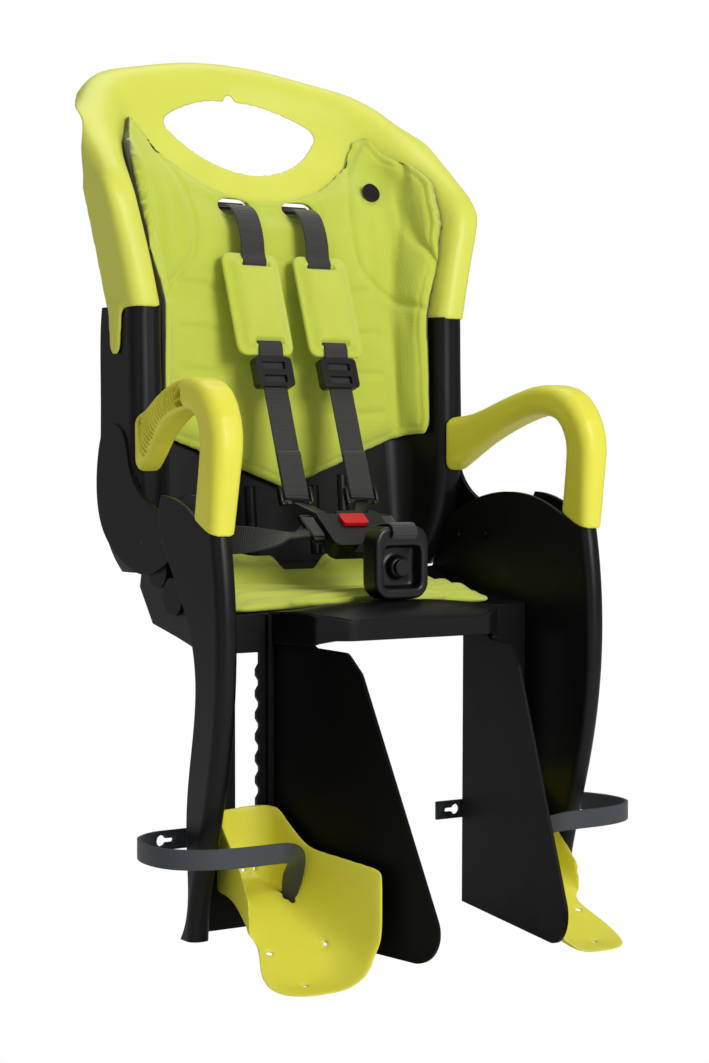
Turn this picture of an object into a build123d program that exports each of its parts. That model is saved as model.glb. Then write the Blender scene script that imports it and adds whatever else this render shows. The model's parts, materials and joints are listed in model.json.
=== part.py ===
from build123d import *
import math
import os

# Child bike seat, millimetres. +Z is up, the child faces -Y and the child's left is +X.
# The origin is the centre of the flat underside of the mounting block below the seat pan.

# Walls, fits and fasteners
WALL = 3.5
CLEAR = 0.3
SCREW_R = 2.5
SCREW_HEAD_R = 4.5
SCREW_HEAD_H = 2.6
SCREW_FIT = 0.15

# Mounting block and the sockets for the two rods of the bike's carrier bow
BLOCK_X = 120.0
BLOCK_Y = 80.0
BLOCK_H = 20.0
SOCKET_R = 5.2
SOCKET_DEPTH = 45.0
SOCKET_SPACING = 80.0
SOCKET_SLOPE = 7.0
SOCKET_MOUTH_Z = 7.6
BLOCK_SCREW_Y = 50.0

# Seat pan and its pommel
PAN_FRONT_Y = -47.0
PAN_REAR_Y = 78.0
PAN_REAR_HALF = 116.0
PAN_DIP_Z = 25.0
PAN_REAR_Z = 60.0
HUMP_Y = -84.0
HUMP_Z = 36.0
LIP_Y = -120.0
LIP_Z = 19.0
LIP_H = 13.0
LIP_HALF = 68.0
TONGUE_ROOT_HALF = 103.0
TONGUE_TAPER = 0.19

# Side wings with their leg guards: front bead line, skirt and side outline
WING_X = 181.0
WING_WAIST_X = 166.0
WING_WAIST_Y = -28.0
WING_FLARE_RUN = 90.0
WING_REAR_X = 155.0
BEAD_W = 14.0
BEAD_FILLET = 6.5
WING_TOP_Z = 125.0
LEG_BOTTOM_Z = -234.0
WING_STATIONS = [
    # height, front of the bead, rear of the skirt
    (LEG_BOTTOM_Z, -78.0, -60.0),
    (-150.0, -97.0, -70.0),
    (-60.0, -119.0, -82.0),
    (20.0, -124.0, -74.0),
    (80.0, -118.0, -36.0),
    (WING_TOP_Z, -108.0, -30.0),
]
WING_CROWN_Y = -21.0
WING_FRONT_Z = 95.0
WING_REAR_Y = 50.0
WING_REAR_Z = 104.0

# Height slot for each footrest, toothed along its inner side
SLOT_INNER_X = 112.0
SLOT_W = 24.0
SLOT_BOTTOM_Z = -192.0
SLOT_TOP_Z = -6.0
TOOTH_W = 3.0
TOOTH_PITCH = 18.0

# Thin wheel guards inside the leg guards
GUARD_T = 3.0
GUARD_TOP_Z = 4.0
GUARD_TOP_FRONT = 106.0
GUARD_BOTTOM_FRONT = 206.0
GUARD_BOTTOM_Z = -243.0
GUARD_CORNER_R = 26.0
GUARD_SKIN = 1.2
GUARD_SCREW_Z = 12.0
GUARD_SCREW_PLACES = [12.0, 32.0]

# Backrest shell: hooked sections from the seat up to the headrest
RIM_W = 24.0
RIM_FILLET = 10.0
BACK_BOTTOM_Z = 56.0
BACK_TOP_Z = 286.0
BACK_STATIONS = [
    # height, rim centre, front of the rim, back panel, rear of the flank, panel corner, corner radius
    (BACK_BOTTOM_Z, 146.0, 78.0, 92.0, 104.0, 124.0, 10.0),
    (100.0, 158.0, 60.0, 97.0, 116.0, 132.0, 22.0),
    (150.0, 161.0, 53.0, 101.0, 116.0, 134.0, 25.0),
    (220.0, 161.0, 53.0, 107.0, 115.0, 134.0, 25.0),
    (BACK_TOP_Z, 161.0, 54.0, 113.0, 112.0, 132.0, 25.0),
]
BACK_ARCH = 2.0
RIDGE_R = 6.0
RIDGE_LOW_Z = 68.0
RIDGES = [
    # place across the backrest, height of its top end
    (34.0, 130.0),
    (66.0, 140.0),
]
ARCH_R = 240.0
EAR_X = 174.5
EAR_T = 4.0
BOSS_R = 16.0
BOSS_OUT = EAR_X - EAR_T / 2 - CLEAR

# Armrests: section places along the loop, from the root on the backrest to the wing
ARM_ROOT_GAP = 1.1
ARM_ROOT_Y = BACK_STATIONS[2][2] - WALL / 2 - ARM_ROOT_GAP
ARM_ROUND = 0.36
ARM_WALL = 3.0
ARM_WEB = 8.0
ARM_CELLS = 22
ARM_CELL_L = 3.2
ARM_CELL_FROM = 0.5
ARM_CELL_TO = 2.9
ARM_STEPS = 3
ARM_SCREW_L = 14.0
ARM_STATIONS = [
    # y, z, x, rise of the bar in degrees, width, thickness
    (ARM_ROOT_Y, 168.0, 163.0, 0.0, 27.0, 50.0),
    (18.0, 182.0, 171.0, 24.0, 30.0, 32.0),
    (-28.0, 200.0, 179.0, 18.0, 32.0, 26.0),
    (-66.0, 207.0, 182.0, 4.0, 33.0, 27.0),
    (-95.0, 199.0, 184.0, -38.0, 32.0, 31.0),
    (-110.0, 172.0, 186.0, -82.0, 29.0, 34.0),
    (-107.0, 136.0, 187.0, -97.0, 26.0, 35.0),
    (-100.0, 92.0, 188.0, -98.0, 22.0, 38.0),
]

# Headrest shell: the sections tip back as they climb to the carry handle
ROLL_PROUD = 0.6
HEAD_STATIONS = [
    # tilt, front of the rim (y, z), rim centre, panel depth, arch, flank depth, corner, corner radius
    (0.0, 52.0, 286.5, 162.0, 66.0, 2.0, 50.0, 133.0, 25.0),
    (10.0, 54.0, 330.0, 172.0, 70.0, 4.0, 54.0, 141.0, 30.0),
    (24.0, 56.0, 366.0, 181.0, 90.0, 8.0, 62.0, 147.0, 45.0),
    (35.0, 60.0, 386.0, 185.0, 150.0, 26.0, 76.0, 138.0, 70.0),
    (42.0, 67.0, 404.0, 186.0, 178.0, 40.0, 85.0, 134.0, 80.0),
]
HANDLE_HALF = 83.0
HANDLE_TIP_Z = 462.0
HANDLE_BOTTOM_Z = 417.0
HANDLE_TOP_Z = 488.0
HANDLE_NOTCH_R = 5.0
HANDLE_TIP_R = 9.0
HANDLE_ROLL = 25.0
HANDLE_FLANGE = 24.0
FLANGE_MIDDLE_Z = 505.0
FLANGE_END_Z = 448.0
FLANGE_HALF = 210.0
FINGER_Y = 84.0
FINGER_R = 9.0
FINGER_BOTTOM_Z = 247.0
LAP_H = 32.0
LAP_HALF = 105.0

# Harness: webbing, slots and the positions along the shoulder straps
WEB_W = 25.0
WEB_T = 1.6
SLOT_X = 34.5
SLOT_Z = 385.0
LOW_SLOT_Z = 348.0
SLOT_LONG = 31.0
SLOT_HIGH = 9.0
WAIST_SLOT_X = 104.0
WAIST_Z = 84.0
WAIST_REAR_Y = 102.0
WAIST_END_X = 48.0
WAIST_END_Y = -4.0
WEB_FIT = 0.4
STRAP_REAR_Y = 138.0
STRAP_TOP = (112.0, SLOT_Z - 1.0)
STRAP_BEND = (96.0, 345.0)
STRAP_LOW = (20.0, 125.0)
STRAP_RUN = math.dist(STRAP_BEND, STRAP_LOW)
STOP_R = 4.0
STOP_LONG = 40.0
SHOULDER_PAD_W = 58.0
SHOULDER_PAD_L = 98.0
SHOULDER_PAD_T = 13.0
SHOULDER_PAD_OUT = 3.0
SHOULDER_PAD_ALONG = 56.0
ADJUSTER_W = 38.0
ADJUSTER_L = 28.0
ADJUSTER_T = 9.0
ADJUSTER_ALONG = 121.0
BUCKLE_Y = -22.0
BUCKLE_Z = 90.0
BUCKLE_LEAN = 38.0
BUCKLE_W = 66.0
BUCKLE_L = 46.0
BUCKLE_BASE_T = 9.0
BUCKLE_COVER_T = 7.0
BUTTON_W = 26.0
BUTTON_L = 13.0
BUTTON_Y = 9.0
BUTTON_FIT = 0.35
BUTTON_PROUD = 3.0
BUTTON_FOOT_T = 2.0
BUTTON_SINK = 6.0
BRACKET_W = 54.0
BRACKET_H = 62.0
BRACKET_T = 22.0
CROTCH_END = (-41.05, 75.35)
TONGUE_L = 17.0
TONGUE_T = 6.0
TONGUE_OVER = 6.0
TONGUE_END_X = 17.0
TONGUE_TIP_W = 13.0
WAIST_TONGUE_L = 22.5

# Pads
BACK_PAD_T = 8.0
PAD_GAP = 1.6
PAD_TIP_Z = 124.0
PAD_HANDLE_Z = 394.0
PAD_SLIT_H = 3.5
PAD_SLIT_DROP = 6.0
PAD_OUTLINE = [
    # half width, height, corner radius, from beside the pointed foot to the petal's top by the handle
    (104.0, 163.0, 60.0),
    (142.0, 177.0, 13.0),
    (144.0, 288.0, 60.0),
    (169.0, 396.0, 30.0),
    (164.0, 420.0, 14.0),
    (138.0, 447.0, 8.0),
    (131.0, 467.0, 6.0),
    (119.0, 460.0, 5.0),
]
PAD_ARC_END = (102.0, 438.0)
SEAT_PAD_T = 8.0
SEAT_PAD_HALF = 140.0
PAD_RIM_SHARE = 0.14
BUTTON_STEM_R = 3.0
PAD_BUTTON_X = 114.0
BUTTON_LEAN = 20.0
BUTTON_HEAD_R = 9.0
BUTTON_HEAD_T = 2.5
BUTTON_LIFT = 1.2

# Footrests
FOOT_WALL = 3.2
FOOT_GAP = 0.5
HEEL_TOP_Z = -132.0
TOE_Y = -198.0
TOE_Z = -262.0
FLOOR_HEEL_Z = -184.0
FLOOR_MID_Y = -90.0
FLOOR_MID_Z = -205.0
FLOOR_BEND_Y = -170.0
FLOOR_ROUND = 60.0
RIM_TOE_H = 7.0
RIM_INNER = [
    # depth, drop below the heel's top and corner radius, along the inner wall's rim
    (-68.0, 1.0, 25.0),
    (-102.0, 26.0, 30.0),
    (-214.0, 36.0, 26.0),
    (-188.0, 116.0, 6.0),
]
RIM_OUTER = [
    # the same along the outer wall's rim, which ends before the toe
    (-60.0, 2.0, 20.0),
    (-88.0, 24.0, 40.0),
    (-121.0, 58.0, 10.0),
    (-125.0, 88.0, 3.0),
]
HEEL_HOLE_R = 1.8
HEEL_HOLES = [142.0, 130.0, 119.0]
HEEL_HOLE_Z = -186.0
FOOT_INNER_X = 106.0
FOOT_TOE_INNER_X = 82.0
FOOT_TOE_OUTER_X = 190.0
FOOT_SIDE_X = 170.0
FOOT_FLARE_Y = -130.0
FOOT_OUTER_X = 160.0
CATCH_T = 4.0
DRAIN_R = 2.0
CATCH_SCREW_L = 8.0
DRAIN_HOLES = [(158.0, -135.0), (147.0, -170.0), (104.0, -140.0)]
KEYHOLES = 4
KEYHOLE_R = 4.5
KEYHOLE_SLOT = 11.0
KEYHOLE_PITCH = 31.0
KEYHOLE_FROM = 24.0
FOOT_STRAP_LINE = [
    # plan from over the foot, round the leg guard to the tail behind it
    (150.0, -136.0),
    (196.0, -136.0),
    (236.0, -112.0),
    (237.0, -68.0),
    (212.0, -30.0),
    (80.0, -27.0),
]
FOOT_STRAP_RADII = [30.0, 24.0, 26.0, 22.0]
STRAP_SLOT_X = 107.5
STRAP_SLOT_Y = -85.0
STRAP_SLOT_FIT = 0.6
STRAP_SINK = 6.0
STRAP_STEPS = 8
NECK_BOTTOM_Z = -182.0
NECK_H = 40.0
FOOT_STRAP_T = 3.0
FOOT_STRAP_W = 20.0
FOOT_STRAP_Z = -168.0


def mirror_x(shape):
    """The same shape on the other side of the seat."""
    return mirror(shape, about=Plane.YZ)


def box(low, high):
    """A block between two opposite corners."""
    size = [b - a for a, b in zip(low, high)]
    middle = [(a + b) / 2 for a, b in zip(low, high)]
    return Pos(*middle) * Box(*size)


def rod(start, direction, radius, length):
    """A round bar from a point along a direction."""
    plane = Plane(origin=start, z_dir=direction)
    return extrude(plane * Circle(radius), length)


def side_prism(points, low_x, high_x):
    """A closed outline of (y, z) points or edges, drawn from the side and given a width in X."""
    outline = points if isinstance(points[0], Edge) else Polyline(*points, close=True).edges()
    face = Plane(origin=(low_x, 0, 0), x_dir=(0, 1, 0), z_dir=(1, 0, 0)) * make_face(outline)
    return extrude(face, high_x - low_x)


def shifted(points, distance):
    """A line of points moved sideways, to its left where the distance is positive."""
    moved = []
    last = len(points) - 1
    for i, point in enumerate(points):
        before = (points[max(i, 1)] - points[max(i - 1, 0)]).normalized()
        after = (points[min(i + 1, last)] - points[min(i, last - 1)]).normalized()
        left_before = Vector(-before.Y, before.X)
        left_after = Vector(-after.Y, after.X)
        share = distance / (1 + left_before.dot(left_after))
        moved.append(point + (left_before + left_after) * share)
    return moved


def thin_face(plane, points, radii, wall):
    """The cut face of a bent sheet: a line with rounded corners and the sheet's thickness."""
    line = [Vector(*point) for point in points]
    turns = [
        math.copysign(1, (b - a).cross(c - b).Z)
        for a, b, c in zip(line, line[1:], line[2:])
    ]
    sides = []
    for side in (1, -1):
        bends = [radius - side * turn * wall / 2 for radius, turn in zip(radii, turns)]
        sides.append(FilletPolyline(*shifted(line, side * wall / 2), radius=bends))
    left, right = sides
    ends = [Line(left @ 1, right @ 1), Line(right @ 0, left @ 0)]
    edges = [*left.edges(), *right.edges(), *[end.edge() for end in ends]]
    return plane * make_face(edges)


def both_sides(half):
    """A left half line of (x, y) points, followed by its mirror image."""
    return half + [(-x, y) for x, y in reversed(half)]


def screw(start, direction, length):
    """A pan head screw: start is under the head, direction is the way the shank goes."""
    way = Vector(*direction).normalized()
    shank = rod(start, way, SCREW_R, length)
    head = rod(start, way * -1, SCREW_HEAD_R, SCREW_HEAD_H)
    return shank + head


def screw_hole(start, direction, length):
    """Room for a screw's shank."""
    return rod(start, direction, SCREW_R + SCREW_FIT, length)


# Seat pan
def guard_line(y):
    """Half width between the wheel guards at a depth y."""
    return TONGUE_ROOT_HALF + TONGUE_TAPER * (y - PAN_FRONT_Y)


def pan_strip(x, low, high):
    """Side view of the pan's sheet at a width x, between two heights above its underside."""
    crown = max(0.0, 1 - (x / TONGUE_ROOT_HALF) ** 2)
    dish = 10.0 * (x / WING_X) ** 2
    hump = PAN_DIP_Z + 3 + (HUMP_Z - PAN_DIP_Z - 3) * crown
    line = [
        (PAN_REAR_Y + 14, PAN_REAR_Z + 6 + dish),
        (45.0, PAN_DIP_Z + 8 + dish),
        (5.0, PAN_DIP_Z + dish),
        (PAN_FRONT_Y, PAN_DIP_Z + 2 + 3 * crown),
        (HUMP_Y, hump),
        (LIP_Y - 6, LIP_Z),
    ]
    upper = Spline(*[(y, z + high) for y, z in line])
    lower = Spline(*[(y, z + low) for y, z in line])
    ends = [Line(upper @ 0, lower @ 0), Line(upper @ 1, lower @ 1)]
    face = make_face([upper.edge(), lower.edge(), *[end.edge() for end in ends]])
    return Plane(origin=(x, 0, 0), x_dir=(0, 1, 0), z_dir=(1, 0, 0)) * face


def pan_sheet(low, high):
    """A sheet that follows the pan from wing to wing."""
    widths = [-WING_X - 4, -TONGUE_ROOT_HALF, -50.0, 0.0, 50.0, TONGUE_ROOT_HALF, WING_X + 4]
    return loft([pan_strip(x, low, high) for x in widths])


def tongue_outline(inset):
    """Plan of the pommel between the wheel guards, as edges."""
    root = PAN_FRONT_Y + 12
    shoulder = LIP_Y + 16
    half = [
        (-guard_line(root) + inset, root),
        (-guard_line(shoulder) + inset, shoulder),
        (-LIP_HALF + inset, LIP_Y + inset),
    ]
    return FilletPolyline(*both_sides(half), radius=[10.0, 22.0, 22.0, 10.0])


def prism_z(edges, low, high):
    """A plan outline given a height."""
    return extrude(Pos(0, 0, low) * make_face(edges), high - low)


def closed(line):
    """The edges of an open line and the one that closes it."""
    return [*line.edges(), Line(line @ 1, line @ 0).edge()]


def pan_plan(inset, front, rear):
    """Plan of the pan between the wings' side walls, kept inset from their mid line."""
    flare = (WING_X - WING_WAIST_X) / WING_FLARE_RUN
    front_x = WING_WAIST_X + flare * (WING_WAIST_Y - front)
    half = [
        (-PAN_REAR_HALF, rear),
        (-PAN_REAR_HALF, PAN_REAR_Y - 4),
        (-WING_REAR_X + inset, PAN_REAR_Y - 4),
        (-WING_WAIST_X + inset, WING_WAIST_Y),
        (-front_x + inset, front),
    ]
    return prism_z(Polyline(*both_sides(half), close=True).edges(), -60, 160)


def wing_top_line():
    """Side view of a wing's upper edge."""
    return Spline(
        (-135.0, WING_FRONT_Z - 4),
        (-112.0, WING_FRONT_Z),
        (-65.0, WING_TOP_Z - 7),
        (WING_CROWN_Y, WING_TOP_Z),
        (20.0, WING_TOP_Z - 8),
        (WING_REAR_Y, WING_REAR_Z),
    )


def make_wing():
    """One side wing: a hooked section from the leg guard's foot to the wing's crown."""
    faces = []
    for height, front, skirt in WING_STATIONS:
        line = [
            (WING_REAR_X, PAN_REAR_Y),
            (WING_WAIST_X, WING_WAIST_Y),
            (WING_X, front),
            (WING_X + BEAD_W, front),
            (WING_X + BEAD_W - 1, skirt),
        ]
        radii = [60.0, BEAD_FILLET, BEAD_FILLET]
        faces.append(thin_face(Plane.XY.offset(height), line, radii, WALL))
    top = wing_top_line()
    rest = Polyline(
        top @ 1,
        (PAN_REAR_Y - 17.5, PAN_REAR_Z + 27),
        (PAN_REAR_Y - 4.5, PAN_REAR_Z),
        (PAN_REAR_Y, 44.0),
        (50.0, 14.0),
        (0.0, 6.0),
        (PAN_FRONT_Y + WALL, -2.0),
        (PAN_FRONT_Y + WALL, LEG_BOTTOM_Z),
        (-135.0, LEG_BOTTOM_Z),
        top @ 0,
    )
    outline = [top.edge(), *rest.edges()]
    return loft(faces) & side_prism(outline, 100, 230)


def wing_wall_x(y):
    """Mid line of a wing's side wall behind its waist."""
    share = (PAN_REAR_Y - y) / (PAN_REAR_Y - WING_WAIST_Y)
    return WING_REAR_X + (WING_WAIST_X - WING_REAR_X) * share


def slot_cutter():
    """A footrest's height slot, with teeth along its inner side."""
    points = [(SLOT_INNER_X + SLOT_W, SLOT_TOP_Z), (SLOT_INNER_X + SLOT_W, SLOT_BOTTOM_Z)]
    teeth = int((SLOT_TOP_Z - SLOT_BOTTOM_Z) / TOOTH_PITCH)
    for tooth in range(teeth):
        foot = SLOT_BOTTOM_Z + tooth * TOOTH_PITCH
        points.append((SLOT_INNER_X, foot))
        points.append((SLOT_INNER_X + TOOTH_W, foot + TOOTH_PITCH * 0.25))
        points.append((SLOT_INNER_X + TOOTH_W, foot + TOOTH_PITCH * 0.55))
        points.append((SLOT_INNER_X, foot + TOOTH_PITCH * 0.8))
    points.append((SLOT_INNER_X, SLOT_TOP_Z))
    face = Plane.XZ * make_face(Polyline(*points, close=True).edges())
    return Pos(0, PAN_FRONT_Y, 0) * extrude(face, 20, both=True)


def guard_plane(side_gap):
    """Plane of the left wheel guard: x runs forward along the guard and y up."""
    way = Vector(-TONGUE_TAPER, -1, 0).normalized()
    origin = Vector(TONGUE_ROOT_HALF - side_gap, PAN_FRONT_Y, 0)
    return Plane(origin=origin, x_dir=way, z_dir=way.cross(Vector(0, 0, 1)))


def guard_screw_points():
    """Where the left wheel guard is screwed to the pommel's side wall, on the guard's inner face."""
    plane = guard_plane(WALL / 2 + CLEAR)
    return [plane.from_local_coords(Vector(along, GUARD_SCREW_Z, GUARD_T)) for along in GUARD_SCREW_PLACES]


def guard_screw_depth():
    """How far a wheel guard's screw goes: through the guard and most of the pommel's wall."""
    return GUARD_T + CLEAR + WALL - GUARD_SKIN


def block_screw_points():
    """Where the mounting block is screwed to the pan, in plan."""
    return [(x, y) for x in (-15.0, 15.0) for y in (-BLOCK_SCREW_Y / 2, BLOCK_SCREW_Y / 2)]


def boss_points():
    """Side view places, (y, z), of the two round bosses on each side of the seat."""
    return [(20.0, 62.0), (-6.0, 40.0)]


def ear_screw_points():
    """Side view places, (y, z), of the screws that hold the backrest's ears to the seat."""
    return [(4.0, 86.0), (40.0, 84.0)]


def make_seat_shell():
    """Pan, pommel, wings, leg guards and their slotted back walls, moulded in one."""
    wing = make_wing()
    back_wall = box(
        (guard_line(PAN_FRONT_Y) - WALL / 2, PAN_FRONT_Y, LEG_BOTTOM_Z),
        (WING_WAIST_X + 2.6, PAN_FRONT_Y + WALL, PAN_DIP_Z),
    )
    back_wall -= slot_cutter()
    frame_rim = box(
        (guard_line(PAN_FRONT_Y) - WALL / 2, PAN_FRONT_Y - 5, LEG_BOTTOM_Z),
        (guard_line(PAN_FRONT_Y) + WALL, PAN_FRONT_Y + 1, PAN_DIP_Z),
    )
    half = wing + back_wall + frame_rim
    for y, z in boss_points():
        wall = wing_wall_x(y)
        half += rod((wall, y, z), (1, 0, 0), BOSS_R, BOSS_OUT - wall)
    for y, z in ear_screw_points():
        wall = wing_wall_x(y)
        half += rod((wall, y, z), (1, 0, 0), BOSS_R / 2, BOSS_OUT - wall)
    for y, z in ear_screw_points():
        half -= screw_hole((WING_REAR_X - 20, y, z), (1, 0, 0), 60)
    sheet = pan_sheet(-WALL, 0)
    wide = sheet & pan_plan(0.4, PAN_FRONT_Y, PAN_REAR_Y + 10)
    tongue = sheet & prism_z(closed(tongue_outline(0)), -60, 160)
    skirt_plan = prism_z(closed(tongue_outline(-WALL / 2)), -30, 160)
    skirt_plan -= prism_z(closed(tongue_outline(WALL / 2)), -40, 170)
    skirt = skirt_plan & loft([pan_strip(x, -60, -WALL / 2) for x in (-110.0, 0.0, 110.0)])
    front = [
        (PAN_FRONT_Y + 20, PAN_DIP_Z - 24),
        (LIP_Y + 20, LIP_Z - LIP_H - 4),
        (LIP_Y + 8, LIP_Z - LIP_H),
        (LIP_Y - 10, LIP_Z - LIP_H),
        (LIP_Y - 10, 80.0),
        (PAN_FRONT_Y + 20, 80.0),
    ]
    skirt &= side_prism(front, -150, 150)
    mount_pad = box(
        (-BLOCK_X / 2 + 4, -BLOCK_Y / 2 + 4, BLOCK_H),
        (BLOCK_X / 2 - 4, BLOCK_Y / 2 - 4, PAN_DIP_Z - 1),
    )
    shell = wide + tongue + skirt + mount_pad + half + mirror_x(half)
    for point in guard_screw_points():
        hole = screw_hole(point, guard_plane(0).z_dir * -1, guard_screw_depth() + CLEAR)
        shell -= hole
        shell -= mirror_x(hole)
    for x, y in block_screw_points():
        shell -= screw_hole((x, y, 0), (0, 0, 1), 40)
    return shell


# Backrest and headrest
def hook_line(rim, front, panel, arch, flank, corner):
    """Section of a shell from one flank's rear edge, round both rims, to the other flank."""
    half = [
        (-rim - RIM_W / 2, flank),
        (-rim - RIM_W / 2, front),
        (-rim + RIM_W / 2, front),
        (-corner, panel - arch),
    ]
    mirrored = [(-x, y) for x, y in reversed(half)]
    return [*half, (0.0, panel), *mirrored]


def hook_radii(bend):
    """Corner radii for hook_line."""
    return [RIM_FILLET, RIM_FILLET, bend, ARCH_R, bend, RIM_FILLET, RIM_FILLET]


def back_sections():
    """Plane, line and panel radius of each backrest section."""
    for height, rim, front, panel, flank, corner, bend in BACK_STATIONS:
        yield Plane.XY.offset(height), hook_line(rim, front, panel, BACK_ARCH, flank, corner), bend


def head_plane(tilt, y, z):
    """A section plane that tips back: its y runs backwards and up."""
    angle = math.radians(tilt)
    way = (0, -math.sin(angle), math.cos(angle))
    return Plane(origin=(0, y, z), x_dir=(1, 0, 0), z_dir=way)


def head_sections():
    """Plane, line and panel radius of each headrest section."""
    for tilt, y, z, rim, panel, arch, flank, corner, bend in HEAD_STATIONS:
        yield head_plane(tilt, y, z), hook_line(rim, 0.0, panel, arch, flank, corner), bend


def shell_loft(sections):
    """A moulded sheet through hooked sections."""
    return loft([thin_face(plane, line, hook_radii(bend), WALL) for plane, line, bend in sections])


def front_prism(edges, low_y, high_y):
    """A closed outline of (x, z), drawn from the front and given a depth in Y."""
    face = Plane(origin=(0, high_y, 0), x_dir=(1, 0, 0), z_dir=(0, -1, 0)) * make_face(edges)
    return extrude(face, high_y - low_y)


def strap_slot(x, z, low_y, high_y):
    """A rounded opening for one strap, right through a wall."""
    outline = Pos(x, z) * SlotOverall(SLOT_LONG, SLOT_HIGH)
    return front_prism(outline.edges(), low_y, high_y)


def strap_slots():
    """Both rows of shoulder strap slots."""
    places = [(x, z) for x in (-SLOT_X, SLOT_X) for z in (SLOT_Z, LOW_SLOT_Z)]
    return [strap_slot(x, z, 60, 200) for x, z in places]


def waist_slots():
    """Slots for the waist straps, upright, at the foot of the backrest."""
    half_high = SLOT_LONG / 2
    half_wide = SLOT_HIGH / 2
    cutters = []
    for side in (-1, 1):
        x = side * WAIST_SLOT_X
        cutters.append(
            box((x - half_wide, 70, WAIST_Z - half_high), (x + half_wide, 130, WAIST_Z + half_high))
        )
    return cutters


def ear_outline():
    """Side view of the lobe that runs forward from each flank to the bosses."""
    return Spline(
        (110.0, 178.0),
        (120.0, 138.0),
        (112.0, 98.0),
        (76.0, 68.0),
        (40.0, 57.0),
        (6.0, 64.0),
        (-22.0, 86.0),
        (-6.0, 104.0),
        (34.0, 120.0),
        (60.0, 146.0),
        (76.0, 180.0),
        periodic=True,
    )


def lap_screw_points():
    """Where the headrest is screwed to the backrest, on the lap's rear face."""
    z = BACK_TOP_Z - LAP_H / 2
    return [Vector(x, lap_rear_y(z), z) for x in (-80.0, -28.0, 28.0, 80.0)]


def back_panel_y(z):
    """Mid plane of the backrest's panel near its top."""
    low = BACK_STATIONS[-2]
    high = BACK_STATIONS[-1]
    share = (z - low[0]) / (high[0] - low[0])
    return low[3] + (high[3] - low[3]) * share


def lap_rear_y(z):
    """Rear face of the headrest's lap behind the backrest's panel."""
    return back_panel_y(z) + WALL / 2 + CLEAR + 0.3 + WALL


def make_ridge(x, top_z):
    """A rounded upright ridge on the front of the backrest, below the pad."""
    low = BACK_STATIONS[0]
    high = BACK_STATIONS[2]
    lean = (high[3] - low[3]) / (high[0] - low[0])
    start = Vector(x, low[3] + lean * (RIDGE_LOW_Z - low[0]) + WALL / 2 - BACK_ARCH, RIDGE_LOW_Z)
    end = start + Vector(0, lean, 1) * (top_z - RIDGE_LOW_Z)
    bar = rod(start, end - start, RIDGE_R, (end - start).length)
    return bar & box((x - 20, 0, 0), (x + 20, low[3] + lean * (top_z - low[0]), top_z))


def make_backrest_shell():
    """The backrest's sheet with its rolled rims, flanks and ears."""
    shell = shell_loft(back_sections())
    ear = side_prism(ear_outline().edges(), EAR_X - EAR_T / 2, EAR_X + EAR_T / 2)
    for y, z in ear_screw_points():
        ear -= screw_hole((EAR_X - 20, y, z), (1, 0, 0), 40)
    shell += ear
    shell += mirror_x(ear)
    for x, top_z in RIDGES:
        ridge = make_ridge(x, top_z)
        shell += ridge
        shell += mirror_x(ridge)
    for cutter in waist_slots():
        shell -= cutter
    for point in lap_screw_points():
        shell -= screw_hole(point + Vector(0, WALL, 0), (0, -1, 0), 30)
    for point in arm_screw_points():
        hole = screw_hole(point + Vector(0, CLEAR, 0), (0, -1, 0), ARM_SCREW_L)
        shell -= hole
        shell -= mirror_x(hole)
    return shell


def handle_outline():
    """Front view of the carry handle's opening."""
    half = HANDLE_HALF
    tip = HANDLE_TIP_Z
    lower = ThreePointArc((-half, tip), (0, HANDLE_BOTTOM_Z), (half, tip))
    upper = ThreePointArc((half, tip), (0, HANDLE_TOP_Z), (-half, tip))
    face = make_face([lower.edge(), upper.edge()])
    return fillet(face.vertices(), HANDLE_TIP_R).edges()


def above_flange_arc():
    """Room above the arc that the rolled top's rear flange is trimmed to."""
    top = HANDLE_TOP_Z + 100
    arc = ThreePointArc((-FLANGE_HALF, FLANGE_END_Z), (0, FLANGE_MIDDLE_Z), (FLANGE_HALF, FLANGE_END_Z))
    rest = Polyline(arc @ 1, (FLANGE_HALF, top), (-FLANGE_HALF, top), arc @ 0)
    return front_prism([arc.edge(), *rest.edges()], 60, 320)


def finger_outline(top_z):
    """Side view of the round ended finger that laps each flank of the backrest."""
    low = FINGER_BOTTOM_Z + FINGER_R
    end = ThreePointArc((FINGER_Y - FINGER_R, low), (FINGER_Y, FINGER_BOTTOM_Z), (FINGER_Y + FINGER_R, low))
    rest = Polyline(end @ 1, (FINGER_Y + FINGER_R + 4, top_z), (FINGER_Y - FINGER_R - 4, top_z), end @ 0)
    return [end.edge(), *rest.edges()]


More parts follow.
